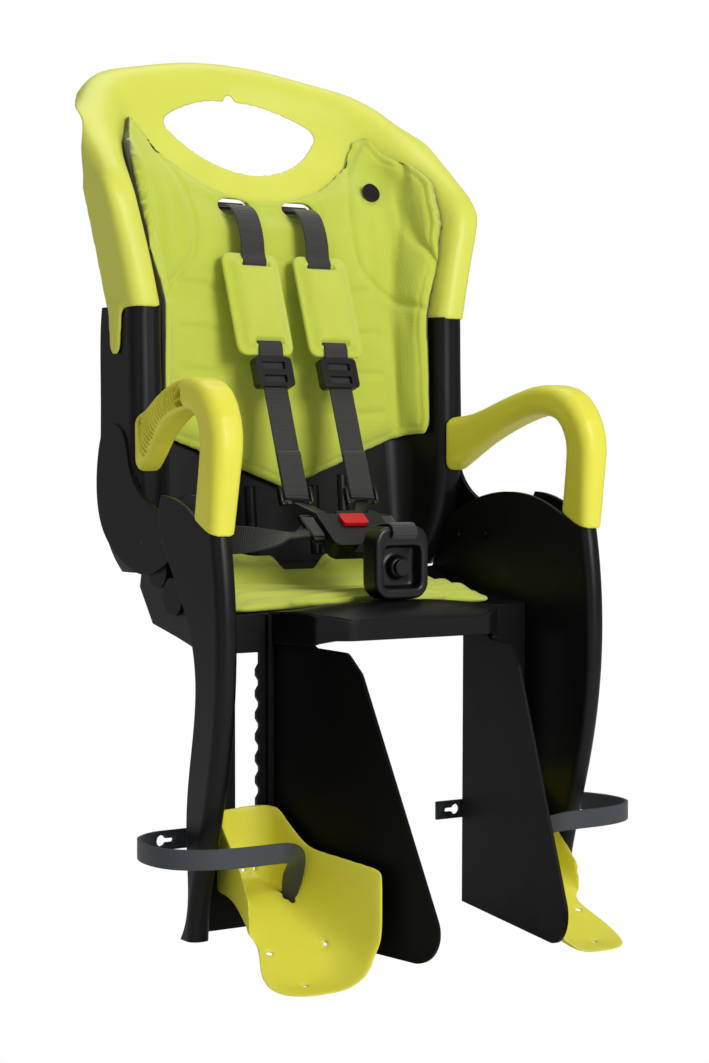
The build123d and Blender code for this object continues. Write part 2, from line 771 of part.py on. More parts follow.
def make_headrest_shell():
    """The headrest cap: a sheet that tips back into the carry handle, rolled over at its top."""
    sections = list(head_sections())
    shell = shell_loft(sections)
    notch = Pos(0, HANDLE_TOP_Z) * Circle(HANDLE_NOTCH_R)
    shell -= front_prism(handle_outline(), 100, 260)
    shell -= front_prism(notch.edges(), 100, 260)
    for cutter in strap_slots():
        shell -= cutter
    plane, line, bend = sections[-1]
    tilt, y, z, rim, panel, arch, flank, corner, radius = HEAD_STATIONS[-1]
    side = rim + RIM_W / 2
    back = [(-corner - 14, panel - arch + HANDLE_ROLL - 6), (0.0, panel + HANDLE_ROLL)]
    back.append((-back[0][0], back[0][1]))
    inner = FilletPolyline(*line[2:7], radius=[bend, ARCH_R, bend])
    outer_line = [(-side, 0.0), (-side, flank), *back, (side, flank), (side, 0.0)]
    outer = FilletPolyline(*outer_line, radius=[60.0, 70.0, ARCH_R, 70.0, 60.0])
    joins = [Line(outer @ 0, inner @ 0).edge(), Line(outer @ 1, inner @ 1).edge()]
    roll = plane * make_face([*inner.edges(), *outer.edges(), *joins])
    shell += Pos(*(plane.z_dir * ROLL_PROUD)) * extrude(roll, -WALL)
    flange_line = [(-side, flank - 4), *back, (side, flank - 4)]
    flange = thin_face(plane, flange_line, [70.0, ARCH_R, 70.0], WALL)
    shell += extrude(flange, -HANDLE_FLANGE) & above_flange_arc()
    lap_low = BACK_TOP_Z - LAP_H
    lap_high = BACK_TOP_Z + 6
    faces = []
    for height in (lap_low, lap_high):
        middle = lap_rear_y(height) - WALL / 2
        faces.append(Pos(0, middle, height) * Rectangle(2 * LAP_HALF, WALL))
    shell += loft(faces)
    finger_x = BACK_STATIONS[-1][1] + RIM_W / 2 + WALL / 2 + CLEAR
    finger = finger_outline(lap_high)
    finger_body = side_prism(finger, finger_x, finger_x + WALL)
    shell += finger_body
    shell += mirror_x(finger_body)
    for point in lap_screw_points():
        shell -= screw_hole(point + Vector(0, WALL, 0), (0, -1, 0), 30)
    return shell - pad_button_hole(BUTTON_STEM_R + CLEAR)


# Wheel guards
def make_wheel_guard():
    """The left wheel guard: a thin flat plate with a slanting front edge."""
    outline = FilletPolyline(
        (2.0, GUARD_TOP_Z + 14),
        (40.0, GUARD_TOP_Z + 14),
        (52.0, GUARD_TOP_Z - 4),
        (GUARD_TOP_FRONT - 16, GUARD_TOP_Z - 6),
        (GUARD_TOP_FRONT, GUARD_TOP_Z - 22),
        (GUARD_BOTTOM_FRONT, GUARD_BOTTOM_Z),
        (0.0, GUARD_BOTTOM_Z + 6),
        radius=[4.0, 6.0, 8.0, 10.0, GUARD_CORNER_R],
    )
    plane = guard_plane(WALL / 2 + CLEAR)
    plate = extrude(plane * make_face(closed(outline)), GUARD_T)
    for point in guard_screw_points():
        plate -= screw_hole(point + plane.z_dir, plane.z_dir * -1, 2 * GUARD_T)
    return plate


# Mounting block
def socket_way():
    """The way out of the sockets: forwards and a little down, under the pan's lip."""
    angle = math.radians(SOCKET_SLOPE)
    return Vector(0, -math.cos(angle), -math.sin(angle))


def make_mounting_block():
    """The block under the pan that takes the two rods of the carrier bow."""
    body = box((-BLOCK_X / 2, -BLOCK_Y / 2, 0), (BLOCK_X / 2, BLOCK_Y / 2, BLOCK_H))
    body = fillet(body.edges().filter_by(Axis.Z), 8)
    for side in (-1, 1):
        mouth = Vector(side * SOCKET_SPACING / 2, -BLOCK_Y / 2, SOCKET_MOUTH_Z)
        body -= rod(mouth - socket_way() * SOCKET_DEPTH, socket_way(), SOCKET_R, SOCKET_DEPTH + 12)
    for x, y in block_screw_points():
        body -= screw_hole((x, y, -1), (0, 0, 1), BLOCK_H + 2)
        body -= rod((x, y, -1), (0, 0, 1), SCREW_HEAD_R + CLEAR, 1 + SCREW_HEAD_H + 2)
    return body


def make_block_screws():
    """Four screws, heads sunk in the block's underside."""
    start = SCREW_HEAD_H + 2
    return [screw((x, y, start), (0, 0, 1), BLOCK_H) for x, y in block_screw_points()]


def make_guard_screws():
    """Two screws for each wheel guard, from its inner side into the pommel's walls."""
    way = guard_plane(0).z_dir * -1
    left = [screw(point, way, guard_screw_depth()) for point in guard_screw_points()]
    return left + [mirror_x(one) for one in left]


def make_headrest_screws():
    """Four screws through the headrest's lap into the backrest."""
    seat = Vector(0, 2 * CLEAR, 0)
    return [screw(point + seat, (0, -1, 0), 2 * WALL + 1.0) for point in lap_screw_points()]


def make_ear_screws():
    """Two screws on each side, from inside the wing into the backrest's ear."""
    left = []
    for y, z in ear_screw_points():
        start = wing_wall_x(y) - WALL / 2 - 2 * CLEAR
        left.append(screw((start, y, z), (1, 0, 0), EAR_X + EAR_T / 2 - start))
    return left + [mirror_x(one) for one in left]


# Armrests
def arm_plane(y, z, x, angle):
    """Section plane of an armrest: its normal leans up from straight forwards by angle."""
    lean = math.radians(angle)
    return Plane(origin=(x, y, z), x_dir=(1, 0, 0), z_dir=(0, -math.cos(lean), math.sin(lean)))


def arm_section(station, trim, shift_x):
    """Rounded section of an armrest, made thinner by trim and moved sideways."""
    y, z, x, angle, wide, thick = station
    face = RectangleRounded(wide, thick - trim, min(wide, thick - trim) * ARM_ROUND)
    return arm_plane(y, z, x + shift_x, angle) * face


def arm_at(place):
    """A station on the smooth line through the armrest's own, by its place in the list."""
    last = len(ARM_STATIONS) - 1
    index = min(int(place), last - 1)
    share = place - index
    near = [ARM_STATIONS[min(max(index + step, 0), last)] for step in (-1, 0, 1, 2)]
    station = []
    for before, start, end, after in zip(*near):
        slope_in = (end - before) / 2
        slope_out = (after - start) / 2
        bend = 3 * (end - start) - 2 * slope_in - slope_out
        twist = slope_in + slope_out - 2 * (end - start)
        station.append(start + share * (slope_in + share * (bend + share * twist)))
    return station


def make_armrest():
    """The left armrest: a looped bar, its outer side hollowed between ribs towards the root."""
    steps = (len(ARM_STATIONS) - 1) * ARM_STEPS
    stations = [arm_at(step / ARM_STEPS) for step in range(steps + 1)]
    bar = loft([arm_section(station, 0, 0) for station in stations], ruled=True)
    for cell in range(ARM_CELLS):
        place = ARM_CELL_FROM + (ARM_CELL_TO - ARM_CELL_FROM) * cell / (ARM_CELLS - 1)
        bar -= extrude(arm_section(arm_at(place), 2 * ARM_WALL, ARM_WEB), ARM_CELL_L / 2, both=True)
    under = wing_top_line()
    floor = Polyline(under @ 1, (WING_REAR_Y, -20), (-135.0, -20), under @ 0)
    below = side_prism([under.edge(), *floor.edges()], 100, 240)
    bar -= Pos(0, 0, CLEAR) * below
    for point in arm_screw_points():
        bar -= screw_hole(point, (0, -1, 0), ARM_SCREW_L + 2)
    return bar


def arm_screw_points():
    """Where the left armrest is screwed to the backrest's rim, inside the rim."""
    rim_front = BACK_STATIONS[2][2] + WALL / 2 + CLEAR
    return [Vector(BACK_STATIONS[2][1], rim_front, z) for z in (156.0, 180.0)]


def make_armrest_screws():
    """Two screws on each side, from inside the rim into the armrest's root."""
    left = [screw(point, (0, -1, 0), ARM_SCREW_L) for point in arm_screw_points()]
    return left + [mirror_x(one) for one in left]


# Pads
def pad_line(line, bend):
    """Section of the back pad in front of a shell section, and its corner radius."""
    offset = WALL / 2 + PAD_GAP + BACK_PAD_T / 2
    rim, corner, middle = [Vector(*point) for point in line[2:5]]
    start = rim + (corner - rim) * PAD_RIM_SHARE
    half = [start, corner, middle, Vector(-corner.X, corner.Y), Vector(-start.X, start.Y)]
    moved = shifted(half, -offset)
    return [(point.X, point.Y) for point in moved], max(bend - offset, BACK_PAD_T)


def pad_outline():
    """Front view of the back pad: a pointed foot, wings and a petal on each side of the handle."""
    end_x, end_z = PAD_ARC_END
    sides = []
    for side in (1, -1):
        corners = [(side * x, z) for x, z, radius in PAD_OUTLINE]
        line = [(0, PAD_TIP_Z), *corners, (side * end_x, end_z)]
        sides.append(FilletPolyline(*line, radius=[radius for x, z, radius in PAD_OUTLINE]))
    arc = ThreePointArc((-end_x, end_z), (0, PAD_HANDLE_Z), (end_x, end_z))
    return [*sides[0].edges(), *sides[1].edges(), arc.edge()]


def make_back_pad():
    """The padded cover of the backrest and headrest, with a pointed foot."""
    lower = list(back_sections())
    upper = [lower[-1], *list(head_sections())[1:]]
    runs = []
    for sections in (lower, upper):
        faces = []
        for plane, line, bend in sections:
            points, radius = pad_line(line, bend)
            faces.append(thin_face(plane, points, [radius, ARCH_R, radius], BACK_PAD_T))
        runs.append(loft(faces))
    pad = runs[0] + runs[1]
    pad &= front_prism(pad_outline(), 0, 300)
    for x in (-SLOT_X, SLOT_X):
        pad -= strap_slot(x, SLOT_Z, 60, 200)
        slit = Pos(x, LOW_SLOT_Z - PAD_SLIT_DROP) * SlotOverall(SLOT_LONG, PAD_SLIT_H)
        pad -= front_prism(slit.edges(), 60, 200)
    return pad - pad_button_hole(BUTTON_STEM_R + CLEAR)


def make_seat_pad():
    """The padded cover of the pan."""
    sheet = pan_sheet(CLEAR, SEAT_PAD_T)
    front = PAN_FRONT_Y + 1
    half = [
        (-PAN_REAR_HALF + 6, PAN_REAR_Y - 6),
        (-SEAT_PAD_HALF, 30.0),
        (-SEAT_PAD_HALF, front),
        (-88.0, front),
        (-34.0, front - 14),
    ]
    outline = FilletPolyline(*both_sides(half), radius=[30.0, 20.0, 10.0, 20.0, 20.0, 10.0, 20.0, 30.0])
    return sheet & prism_z(closed(outline), -60, 160)


# Harness
def web_strip(x, line, radii):
    """Webbing drawn from the side along (y, z) points, centred on a width x."""
    plane = Plane(origin=(x - WEB_W / 2, 0, 0), x_dir=(0, 1, 0), z_dir=(1, 0, 0))
    return extrude(thin_face(plane, line, radii, WEB_T), WEB_W)


def strap_plane(x, along):
    """Plane on a shoulder strap at a distance down its straight run: y runs up the strap."""
    way = (Vector(0, *STRAP_LOW) - Vector(0, *STRAP_BEND)).normalized()
    origin = Vector(x, *STRAP_BEND) + way * along
    return Plane(origin=origin, x_dir=(1, 0, 0), z_dir=way.cross(Vector(1, 0, 0)))


def make_shoulder_strap():
    """The left shoulder strap, from its stop behind the shell to its tongue."""
    line = [(STRAP_REAR_Y, SLOT_Z), STRAP_TOP, STRAP_BEND, STRAP_LOW]
    return web_strip(SLOT_X, line, [8.0, 60.0])


def make_strap_stop():
    """The bar behind the shell that the left shoulder strap is looped on."""
    start = (SLOT_X - STOP_LONG / 2, STRAP_REAR_Y + STOP_R + CLEAR, SLOT_Z)
    return rod(start, (1, 0, 0), STOP_R, STOP_LONG)


def web_tunnel(plane, length):
    """Room for webbing to run through a piece along the plane's y."""
    return extrude(plane * Rectangle(WEB_W + 2 * WEB_FIT, length), WEB_T / 2 + WEB_FIT, both=True)


def make_shoulder_pad():
    """The left shoulder pad: a padded sleeve on the strap."""
    plane = strap_plane(SLOT_X + SHOULDER_PAD_OUT, SHOULDER_PAD_ALONG)
    face = RectangleRounded(SHOULDER_PAD_W, SHOULDER_PAD_L, 9)
    body = extrude(plane * face, SHOULDER_PAD_T / 2, both=True)
    body = fillet(body.edges().group_by(SortBy.LENGTH)[-1], 3)
    return body - web_tunnel(strap_plane(SLOT_X, SHOULDER_PAD_ALONG), 2 * SHOULDER_PAD_L)


def make_adjuster():
    """The left ladder adjuster: a frame of bars round the strap."""
    plane = strap_plane(SLOT_X, ADJUSTER_ALONG)
    body = extrude(plane * RectangleRounded(ADJUSTER_W, ADJUSTER_L, 4), ADJUSTER_T / 2, both=True)
    window = Rectangle(WEB_W - 2, ADJUSTER_L * 0.24)
    for y in (-ADJUSTER_L * 0.24, ADJUSTER_L * 0.2):
        body -= extrude(plane * (Pos(0, y) * window), ADJUSTER_T)
    return body - web_tunnel(plane, 2 * ADJUSTER_L)


def make_strap_tongue():
    """The left tongue: a loop on the strap's end and a blade down to the buckle."""
    plane = strap_plane(SLOT_X, STRAP_RUN)
    low = TONGUE_OVER - TONGUE_L
    loop_face = Pos(0, TONGUE_OVER - TONGUE_L / 2) * RectangleRounded(WEB_W + 9, TONGUE_L, 4)
    loop = extrude(plane * loop_face, TONGUE_T / 2, both=True)
    loop -= web_tunnel(plane, 2 * TONGUE_OVER + CLEAR)
    root = Plane(origin=plane.from_local_coords(Vector(0, low + 3, 0)), x_dir=(1, 0, 0), z_dir=plane.y_dir)
    seat = buckle_plane()
    end = seat.from_local_coords(Vector(TONGUE_END_X, BUCKLE_L / 2 + CLEAR, 0))
    tip = Plane(origin=end, x_dir=(1, 0, 0), z_dir=seat.y_dir)
    return loop + loft([root * Rectangle(WEB_W - 4, 3), tip * Rectangle(TONGUE_TIP_W, 3)])


def buckle_plane():
    """Plane of the buckle's parting line: y runs up and back, z out of its face."""
    lean = math.radians(BUCKLE_LEAN)
    return Plane(
        origin=(0, BUCKLE_Y, BUCKLE_Z),
        x_dir=(1, 0, 0),
        z_dir=(0, -math.sin(lean), math.cos(lean)),
    )


def make_buckle_base():
    """Lower half of the buckle, with the pocket that the button sinks into."""
    plane = buckle_plane()
    body = extrude(plane * RectangleRounded(BUCKLE_W, BUCKLE_L, 7), -BUCKLE_BASE_T)
    pocket = Pos(0, BUTTON_Y) * Rectangle(BUTTON_W + 4, BUTTON_L + 4)
    return body - extrude(plane * pocket, -BUTTON_SINK)


def make_buckle_cover():
    """Upper half of the buckle, with the button's window."""
    plane = buckle_plane()
    body = extrude(plane * RectangleRounded(BUCKLE_W, BUCKLE_L, 7), BUCKLE_COVER_T)
    window = Pos(0, BUTTON_Y) * RectangleRounded(BUTTON_W + 2 * BUTTON_FIT, BUTTON_L + 2 * BUTTON_FIT, 3)
    body -= extrude(plane * window, BUCKLE_COVER_T + 1)
    for side in (-1, 1):
        notch = Pos(side * BUCKLE_W / 4, BUCKLE_L / 2) * RectangleRounded(12, 8, 2)
        body -= extrude(plane * notch, BUCKLE_COVER_T + 1) - extrude(plane * notch, BUCKLE_COVER_T / 2)
    return body


def make_buckle_button():
    """The release button: a cap in the window and a foot that keeps it in."""
    plane = buckle_plane()
    cap = Pos(0, BUTTON_Y) * RectangleRounded(BUTTON_W, BUTTON_L, 2.8)
    foot = Pos(0, BUTTON_Y) * Rectangle(BUTTON_W + 3, BUTTON_L + 3)
    body = extrude(plane * cap, BUCKLE_COVER_T + BUTTON_PROUD)
    return body + extrude(plane * foot, -BUTTON_FOOT_T)


def waist_line():
    """Plan of the left waist strap, from behind the backrest's slot to its tongue."""
    return [(WAIST_SLOT_X, WAIST_REAR_Y), (WAIST_SLOT_X - 1, 70.0), (90.0, 34.0), (WAIST_END_X, WAIST_END_Y)]


def make_waist_strap():
    """The left waist strap, on edge."""
    face = thin_face(Plane.XY.offset(WAIST_Z - WEB_W / 2), waist_line(), [12.0, 60.0], WEB_T)
    return extrude(face, WEB_W)


def make_waist_stop():
    """The bar behind the backrest that the left waist strap is looped on."""
    start = (WAIST_SLOT_X, WAIST_REAR_Y + STOP_R + CLEAR, WAIST_Z - STOP_LONG / 2)
    return rod(start, (0, 0, 1), STOP_R, STOP_LONG)


def make_waist_tongue():
    """The left waist strap's tongue, on the side of the buckle."""
    end = Vector(WAIST_END_X, WAIST_END_Y, WAIST_Z)
    before = Vector(*waist_line()[-2], WAIST_Z)
    way = (end - before).normalized()
    plane = Plane(origin=end, x_dir=(0, 0, 1), z_dir=way.cross(Vector(0, 0, 1)))
    middle = TONGUE_OVER - WAIST_TONGUE_L / 2
    face = Pos(0, middle) * RectangleRounded(WEB_W + 8, WAIST_TONGUE_L, 4)
    body = extrude(plane * face, TONGUE_T / 2, both=True)
    return body - web_tunnel(plane, 2 * TONGUE_OVER + CLEAR)


# Crotch bracket
def make_crotch_bracket():
    """The upright frame on the pommel that the crotch strap goes through."""
    half = BRACKET_W / 2
    low = HUMP_Z + CLEAR
    high = low + BRACKET_H
    front = HUMP_Y - BRACKET_T / 2
    body = box((-half, front, low), (half, front + BRACKET_T, high))
    body = fillet(body.edges().filter_by(Axis.Y), 15)
    window = box((-half + 8, front - 1, low + 10), (half - 8, front + BRACKET_T * 0.6, high - 17))
    body -= fillet(window.edges().filter_by(Axis.Y), 4)
    slot = (WEB_W / 2 + 1.5, high - 11 - WEB_FIT, high - 11 + WEB_T + WEB_FIT)
    body -= box((-slot[0], front - 1, slot[1]), (slot[0], front + BRACKET_T + 1, slot[2]))
    body += rod((0, front + BRACKET_T * 0.6, low + 27), (0, -1, 0), 9, BRACKET_T * 0.4)
    return body


def make_crotch_knob():
    """The round screw that clamps the crotch bracket."""
    front = HUMP_Y - BRACKET_T / 2
    start = (0, front + BRACKET_T * 0.2 - CLEAR / 3, HUMP_Z + CLEAR + 27)
    return rod(start, (0, -1, 0), 7, BRACKET_T * 0.2)


def crotch_line():
    """Side view of the crotch strap from the bracket's slot back to the buckle."""
    slot_z = HUMP_Z + CLEAR + BRACKET_H - 11 + WEB_T / 2
    return [(HUMP_Y - BRACKET_T / 2 - 2, slot_z), (HUMP_Y + BRACKET_T / 2 + 2, slot_z), CROTCH_END]


def make_crotch_strap():
    """The crotch strap's visible run."""
    return web_strip(0, crotch_line(), [6.0])


# Footrests
def foot_rear_y():
    """Rear face of a footrest's heel, just in front of the leg guard's back wall."""
    return PAN_FRONT_Y - FOOT_GAP


def foot_outline():
    """Plan of the left footrest."""
    rear = foot_rear_y()
    corners = [
        (FOOT_INNER_X, rear),
        (FOOT_TOE_INNER_X, TOE_Y),
        (FOOT_TOE_OUTER_X - 28, TOE_Y + 3),
        (FOOT_TOE_OUTER_X, TOE_Y + 32),
        (FOOT_SIDE_X, FOOT_FLARE_Y),
        (FOOT_OUTER_X, rear),
    ]
    return FilletPolyline(*corners, radius=[16.0, 12.0, 26.0, 30.0, 18.0, 18.0], close=True)


def foot_inside():
    """Plan of the room inside the footrest's walls, left open at the toe."""
    rear = foot_rear_y() - FOOT_WALL
    ahead = TOE_Y - 60
    corners = [
        (FOOT_INNER_X + FOOT_WALL, rear),
        (FOOT_TOE_INNER_X + FOOT_WALL - 6, ahead),
        (FOOT_TOE_OUTER_X + 60, ahead),
        (FOOT_TOE_OUTER_X + 60, FOOT_FLARE_Y - 6),
        (FOOT_SIDE_X - FOOT_WALL, FOOT_FLARE_Y),
        (FOOT_OUTER_X - FOOT_WALL, rear),
    ]
    return FilletPolyline(*corners, radius=[20.0, 5.0, 5.0, 5.0, 20.0, 15.0], close=True)


def floor_line(drop):
    """Side view of the footrest's floor, lowered by drop."""
    toe = TOE_Z + FOOT_WALL - drop
    return FilletPolyline(
        (foot_rear_y() + 30, FLOOR_HEEL_Z - drop),
        (FLOOR_MID_Y, FLOOR_MID_Z - drop),
        (FLOOR_BEND_Y, toe),
        (TOE_Y - 80, toe),
        radius=FLOOR_ROUND,
    )


def room_above(line, top_z):
    """The side view outline between a line and a height above it."""
    rest = Polyline(line @ 1, ((line @ 1).X, top_z), ((line @ 0).X, top_z), line @ 0)
    return [*line.edges(), *rest.edges()]


def above_floor(drop):
    """Everything above the footrest's sloping floor, lowered by drop."""
    return side_prism(room_above(floor_line(drop), 40.0), 0, 320)


def rim_face(x, corners):
    """Side view of the room above the footrest's rim, at a width x."""
    start = (foot_rear_y() + 10, HEEL_TOP_Z)
    end = (TOE_Y - 40, TOE_Z + RIM_TOE_H)
    points = [(y, HEEL_TOP_Z - drop) for y, drop, radius in corners]
    line = FilletPolyline(start, *points, end, radius=[radius for y, drop, radius in corners])
    plane = Plane(origin=(x, 0, 0), x_dir=(0, 1, 0), z_dir=(1, 0, 0))
    return plane * make_face(room_above(line, 40.0))


def foot_rim():
    """Everything above the footrest's rim: long and high inside, short outside."""
    inner_x = FOOT_INNER_X + 4 * FOOT_WALL
    outer_x = FOOT_OUTER_X - 4 * FOOT_WALL
    faces = [rim_face(0.0, RIM_INNER), rim_face(inner_x, RIM_INNER)]
    faces += [rim_face(outer_x, RIM_OUTER), rim_face(2 * FOOT_OUTER_X, RIM_OUTER)]
    return loft(faces, ruled=True)


def neck_box(fit, low_y, high_y):
    """The footrest's neck through the slot, from one depth to another."""
    low_x = SLOT_INNER_X + TOOTH_W + fit
    high_x = SLOT_INNER_X + SLOT_W - fit
    return box((low_x, low_y, NECK_BOTTOM_Z), (high_x, high_y, NECK_BOTTOM_Z + NECK_H))


def catch_y():
    """Front face of the catch behind the leg guard's back wall."""
    return PAN_FRONT_Y + WALL + FOOT_GAP


def catch_screw_point():
    """Where the catch's screw seats, on the catch's rear face."""
    x = SLOT_INNER_X + (TOOTH_W + SLOT_W) / 2
    return Vector(x, catch_y() + CATCH_T, NECK_BOTTOM_Z + NECK_H / 2)


def make_footrest():
    """The left footrest: a sloping tray with a high heel, and its neck through the slot."""
    tray = prism_z(foot_outline().edges(), TOE_Z - 10, HEEL_TOP_Z + 20)
    tray &= above_floor(FOOT_WALL)
    tray -= prism_z(foot_inside().edges(), TOE_Z - 20, HEEL_TOP_Z + 40) & above_floor(0)
    tray -= foot_rim()
    tray += neck_box(FOOT_GAP, foot_rear_y() - 2, catch_y())
    for x, y in DRAIN_HOLES:
        tray -= rod((x, y, TOE_Z - 20), (0, 0, 1), DRAIN_R, 120)
    for x in HEEL_HOLES:
        tray -= rod((x, foot_rear_y() + 1, HEEL_HOLE_Z), (0, -1, 0), HEEL_HOLE_R, 4 * FOOT_WALL)
    half_x = FOOT_STRAP_T / 2 + STRAP_SLOT_FIT
    half_y = FOOT_STRAP_W / 2 + STRAP_SLOT_FIT
    tray -= box(
        (STRAP_SLOT_X - half_x, STRAP_SLOT_Y - half_y, TOE_Z - 20),
        (STRAP_SLOT_X + half_x, STRAP_SLOT_Y + half_y, FLOOR_HEEL_Z),
    )
    return tray - screw_hole(catch_screw_point(), (0, -1, 0), CATCH_SCREW_L + 1)


def make_footrest_catch():
    """The left catch: a plate behind the back wall that keeps the footrest in its slot."""
    low = (SLOT_INNER_X - 5, catch_y(), NECK_BOTTOM_Z - 4)
    high = (SLOT_INNER_X + SLOT_W + 8, catch_y() + CATCH_T, NECK_BOTTOM_Z + NECK_H + 4)
    plate = box(low, high)
    plate = fillet(plate.edges().filter_by(Axis.Y), 4)
    return plate - screw_hole(catch_screw_point(), (0, -1, 0), 16)


def make_catch_screw():
    """The left catch's screw."""
    return screw(catch_screw_point(), (0, -1, 0), CATCH_SCREW_L)


def strap_end_section(share):
    """Section of the foot strap on its way from over the foot, at 0, down into the floor's slot, at 1."""
    over = Vector(*FOOT_STRAP_LINE[0], FOOT_STRAP_Z + FOOT_STRAP_W / 2)
    down = Vector(STRAP_SLOT_X, STRAP_SLOT_Y, FLOOR_MID_Z - STRAP_SINK)
    reach = 0.75 * (over.X - down.X)
    points = [over, over - Vector(reach, 0, 0), down + Vector(0, 0, reach), down]
    rest = 1 - share
    shares = [rest ** 3, 3 * rest ** 2 * share, 3 * rest * share ** 2, share ** 3]
    slopes = [rest ** 2, 2 * rest * share, share ** 2]
    place = Vector(0, 0, 0)
    way = Vector(0, 0, 0)
    for point, part in zip(points, shares):
        place += point * part
    for start, end, part in zip(points, points[1:], slopes):
        way += (end - start) * part
    way = way.normalized()
    width = Vector(0, -share, rest)
    width -= way * width.dot(way)
    plane = Plane(origin=place, x_dir=width, z_dir=way)
    return plane * Rectangle(FOOT_STRAP_W, FOOT_STRAP_T)


def make_foot_strap():
    """The left foot strap: up from the floor's slot, over the foot, round the leg guard and behind it."""
    face = thin_face(Plane.XY.offset(FOOT_STRAP_Z), FOOT_STRAP_LINE, FOOT_STRAP_RADII, FOOT_STRAP_T)
    strap = extrude(face, FOOT_STRAP_W)
    strap += loft([strap_end_section(step / STRAP_STEPS) for step in range(STRAP_STEPS + 1)], ruled=True)
    tail_x, tail_y = FOOT_STRAP_LINE[-1]
    z = FOOT_STRAP_Z + FOOT_STRAP_W / 2
    strap += rod((tail_x, tail_y - FOOT_STRAP_T / 2, z), (0, 1, 0), FOOT_STRAP_W / 2, FOOT_STRAP_T)
    for hole in range(KEYHOLES):
        x = tail_x + KEYHOLE_FROM - KEYHOLE_SLOT + hole * KEYHOLE_PITCH
        strap -= rod((x, tail_y - 10, z), (0, 1, 0), KEYHOLE_R, 20)
        strap -= box(
            (x - KEYHOLE_SLOT, tail_y - 10, z - KEYHOLE_R / 2),
            (x, tail_y + 10, z + KEYHOLE_R / 2),
        )
    return strap


# Pad buttons
def pad_button_frame():
    """Centre of the left pad button on the headrest's mid surface, and the way to the front."""
    tilt, y, z, rim, panel, arch, flank, corner, bend = HEAD_STATIONS[2]
    depth = panel - arch * PAD_BUTTON_X / corner
    point = head_plane(tilt, y, z).from_local_coords(Vector(PAD_BUTTON_X, depth, 0))
    lean = math.radians(BUTTON_LEAN)
    return point, Vector(0, -math.cos(lean), math.sin(lean))


def pad_button_hole(radius):
    """Room for the left pad button's stem."""
    point, way = pad_button_frame()
    return rod(point - way * 30, way, radius, 60)


def make_pad_buttons():
    """The push button that holds the back pad on the headrest, on the child's left."""
    point, way = pad_button_frame()
    front = WALL / 2 + PAD_GAP + BACK_PAD_T + BUTTON_LIFT
    behind = WALL / 2 + BUTTON_LIFT
    left = rod(point - way * behind, way, BUTTON_STEM_R, front + behind)
    left += rod(point + way * front, way, BUTTON_HEAD_R, BUTTON_HEAD_T)
    left += rod(point - way * behind, way * -1, BUTTON_STEM_R + 2, BUTTON_HEAD_T)
    return [left]


def build():
    """Every node by name: single pieces, mirrored pairs and groups of fasteners."""
    nodes = {
        "seat_shell": make_seat_shell(),
        "backrest_shell": make_backrest_shell(),
        "headrest_shell": make_headrest_shell(),
        "mounting_block": make_mounting_block(),
        "back_pad": make_back_pad(),
        "seat_pad": make_seat_pad(),
        "buckle_base": make_buckle_base(),
        "buckle_cover": make_buckle_cover(),
        "buckle_button": make_buckle_button(),
        "crotch_bracket": make_crotch_bracket(),
        "crotch_knob": make_crotch_knob(),
        "crotch_strap": make_crotch_strap(),
    }
    pairs = {
        "wheel_guard": make_wheel_guard(),
        "armrest": make_armrest(),
        "shoulder_strap": make_shoulder_strap(),
        "strap_stop": make_strap_stop(),
        "shoulder_pad": make_shoulder_pad(),
        "strap_adjuster": make_adjuster(),
        "strap_tongue": make_strap_tongue(),
        "waist_strap": make_waist_strap(),
        "waist_stop": make_waist_stop(),
        "waist_tongue": make_waist_tongue(),
        "footrest": make_footrest(),
        "footrest_catch": make_footrest_catch(),
        "catch_screw": make_catch_screw(),
        "foot_strap": make_foot_strap(),
    }
    for name, left in pairs.items():
        nodes[f"{name}_left"] = left
        nodes[f"{name}_right"] = mirror_x(left)
    nodes["pad_buttons"] = Compound(children=make_pad_buttons())
    nodes["block_screws"] = Compound(children=make_block_screws())
    nodes["guard_screws"] = Compound(children=make_guard_screws())
    nodes["headrest_screws"] = Compound(children=make_headrest_screws())
    nodes["ear_screws"] = Compound(children=make_ear_screws())
    nodes["armrest_screws"] = Compound(children=make_armrest_screws())
    return nodes


if __name__ == "__main__":
    os.makedirs("parts", exist_ok=True)
    for name, shape in build().items():
        shape.label = name
        export_step(shape, f"parts/{name}.step")
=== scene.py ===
import json
import math

import bmesh
import bpy
import numpy as np
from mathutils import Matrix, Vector
from mathutils.bvhtree import BVHTree
from mathutils.kdtree import KDTree


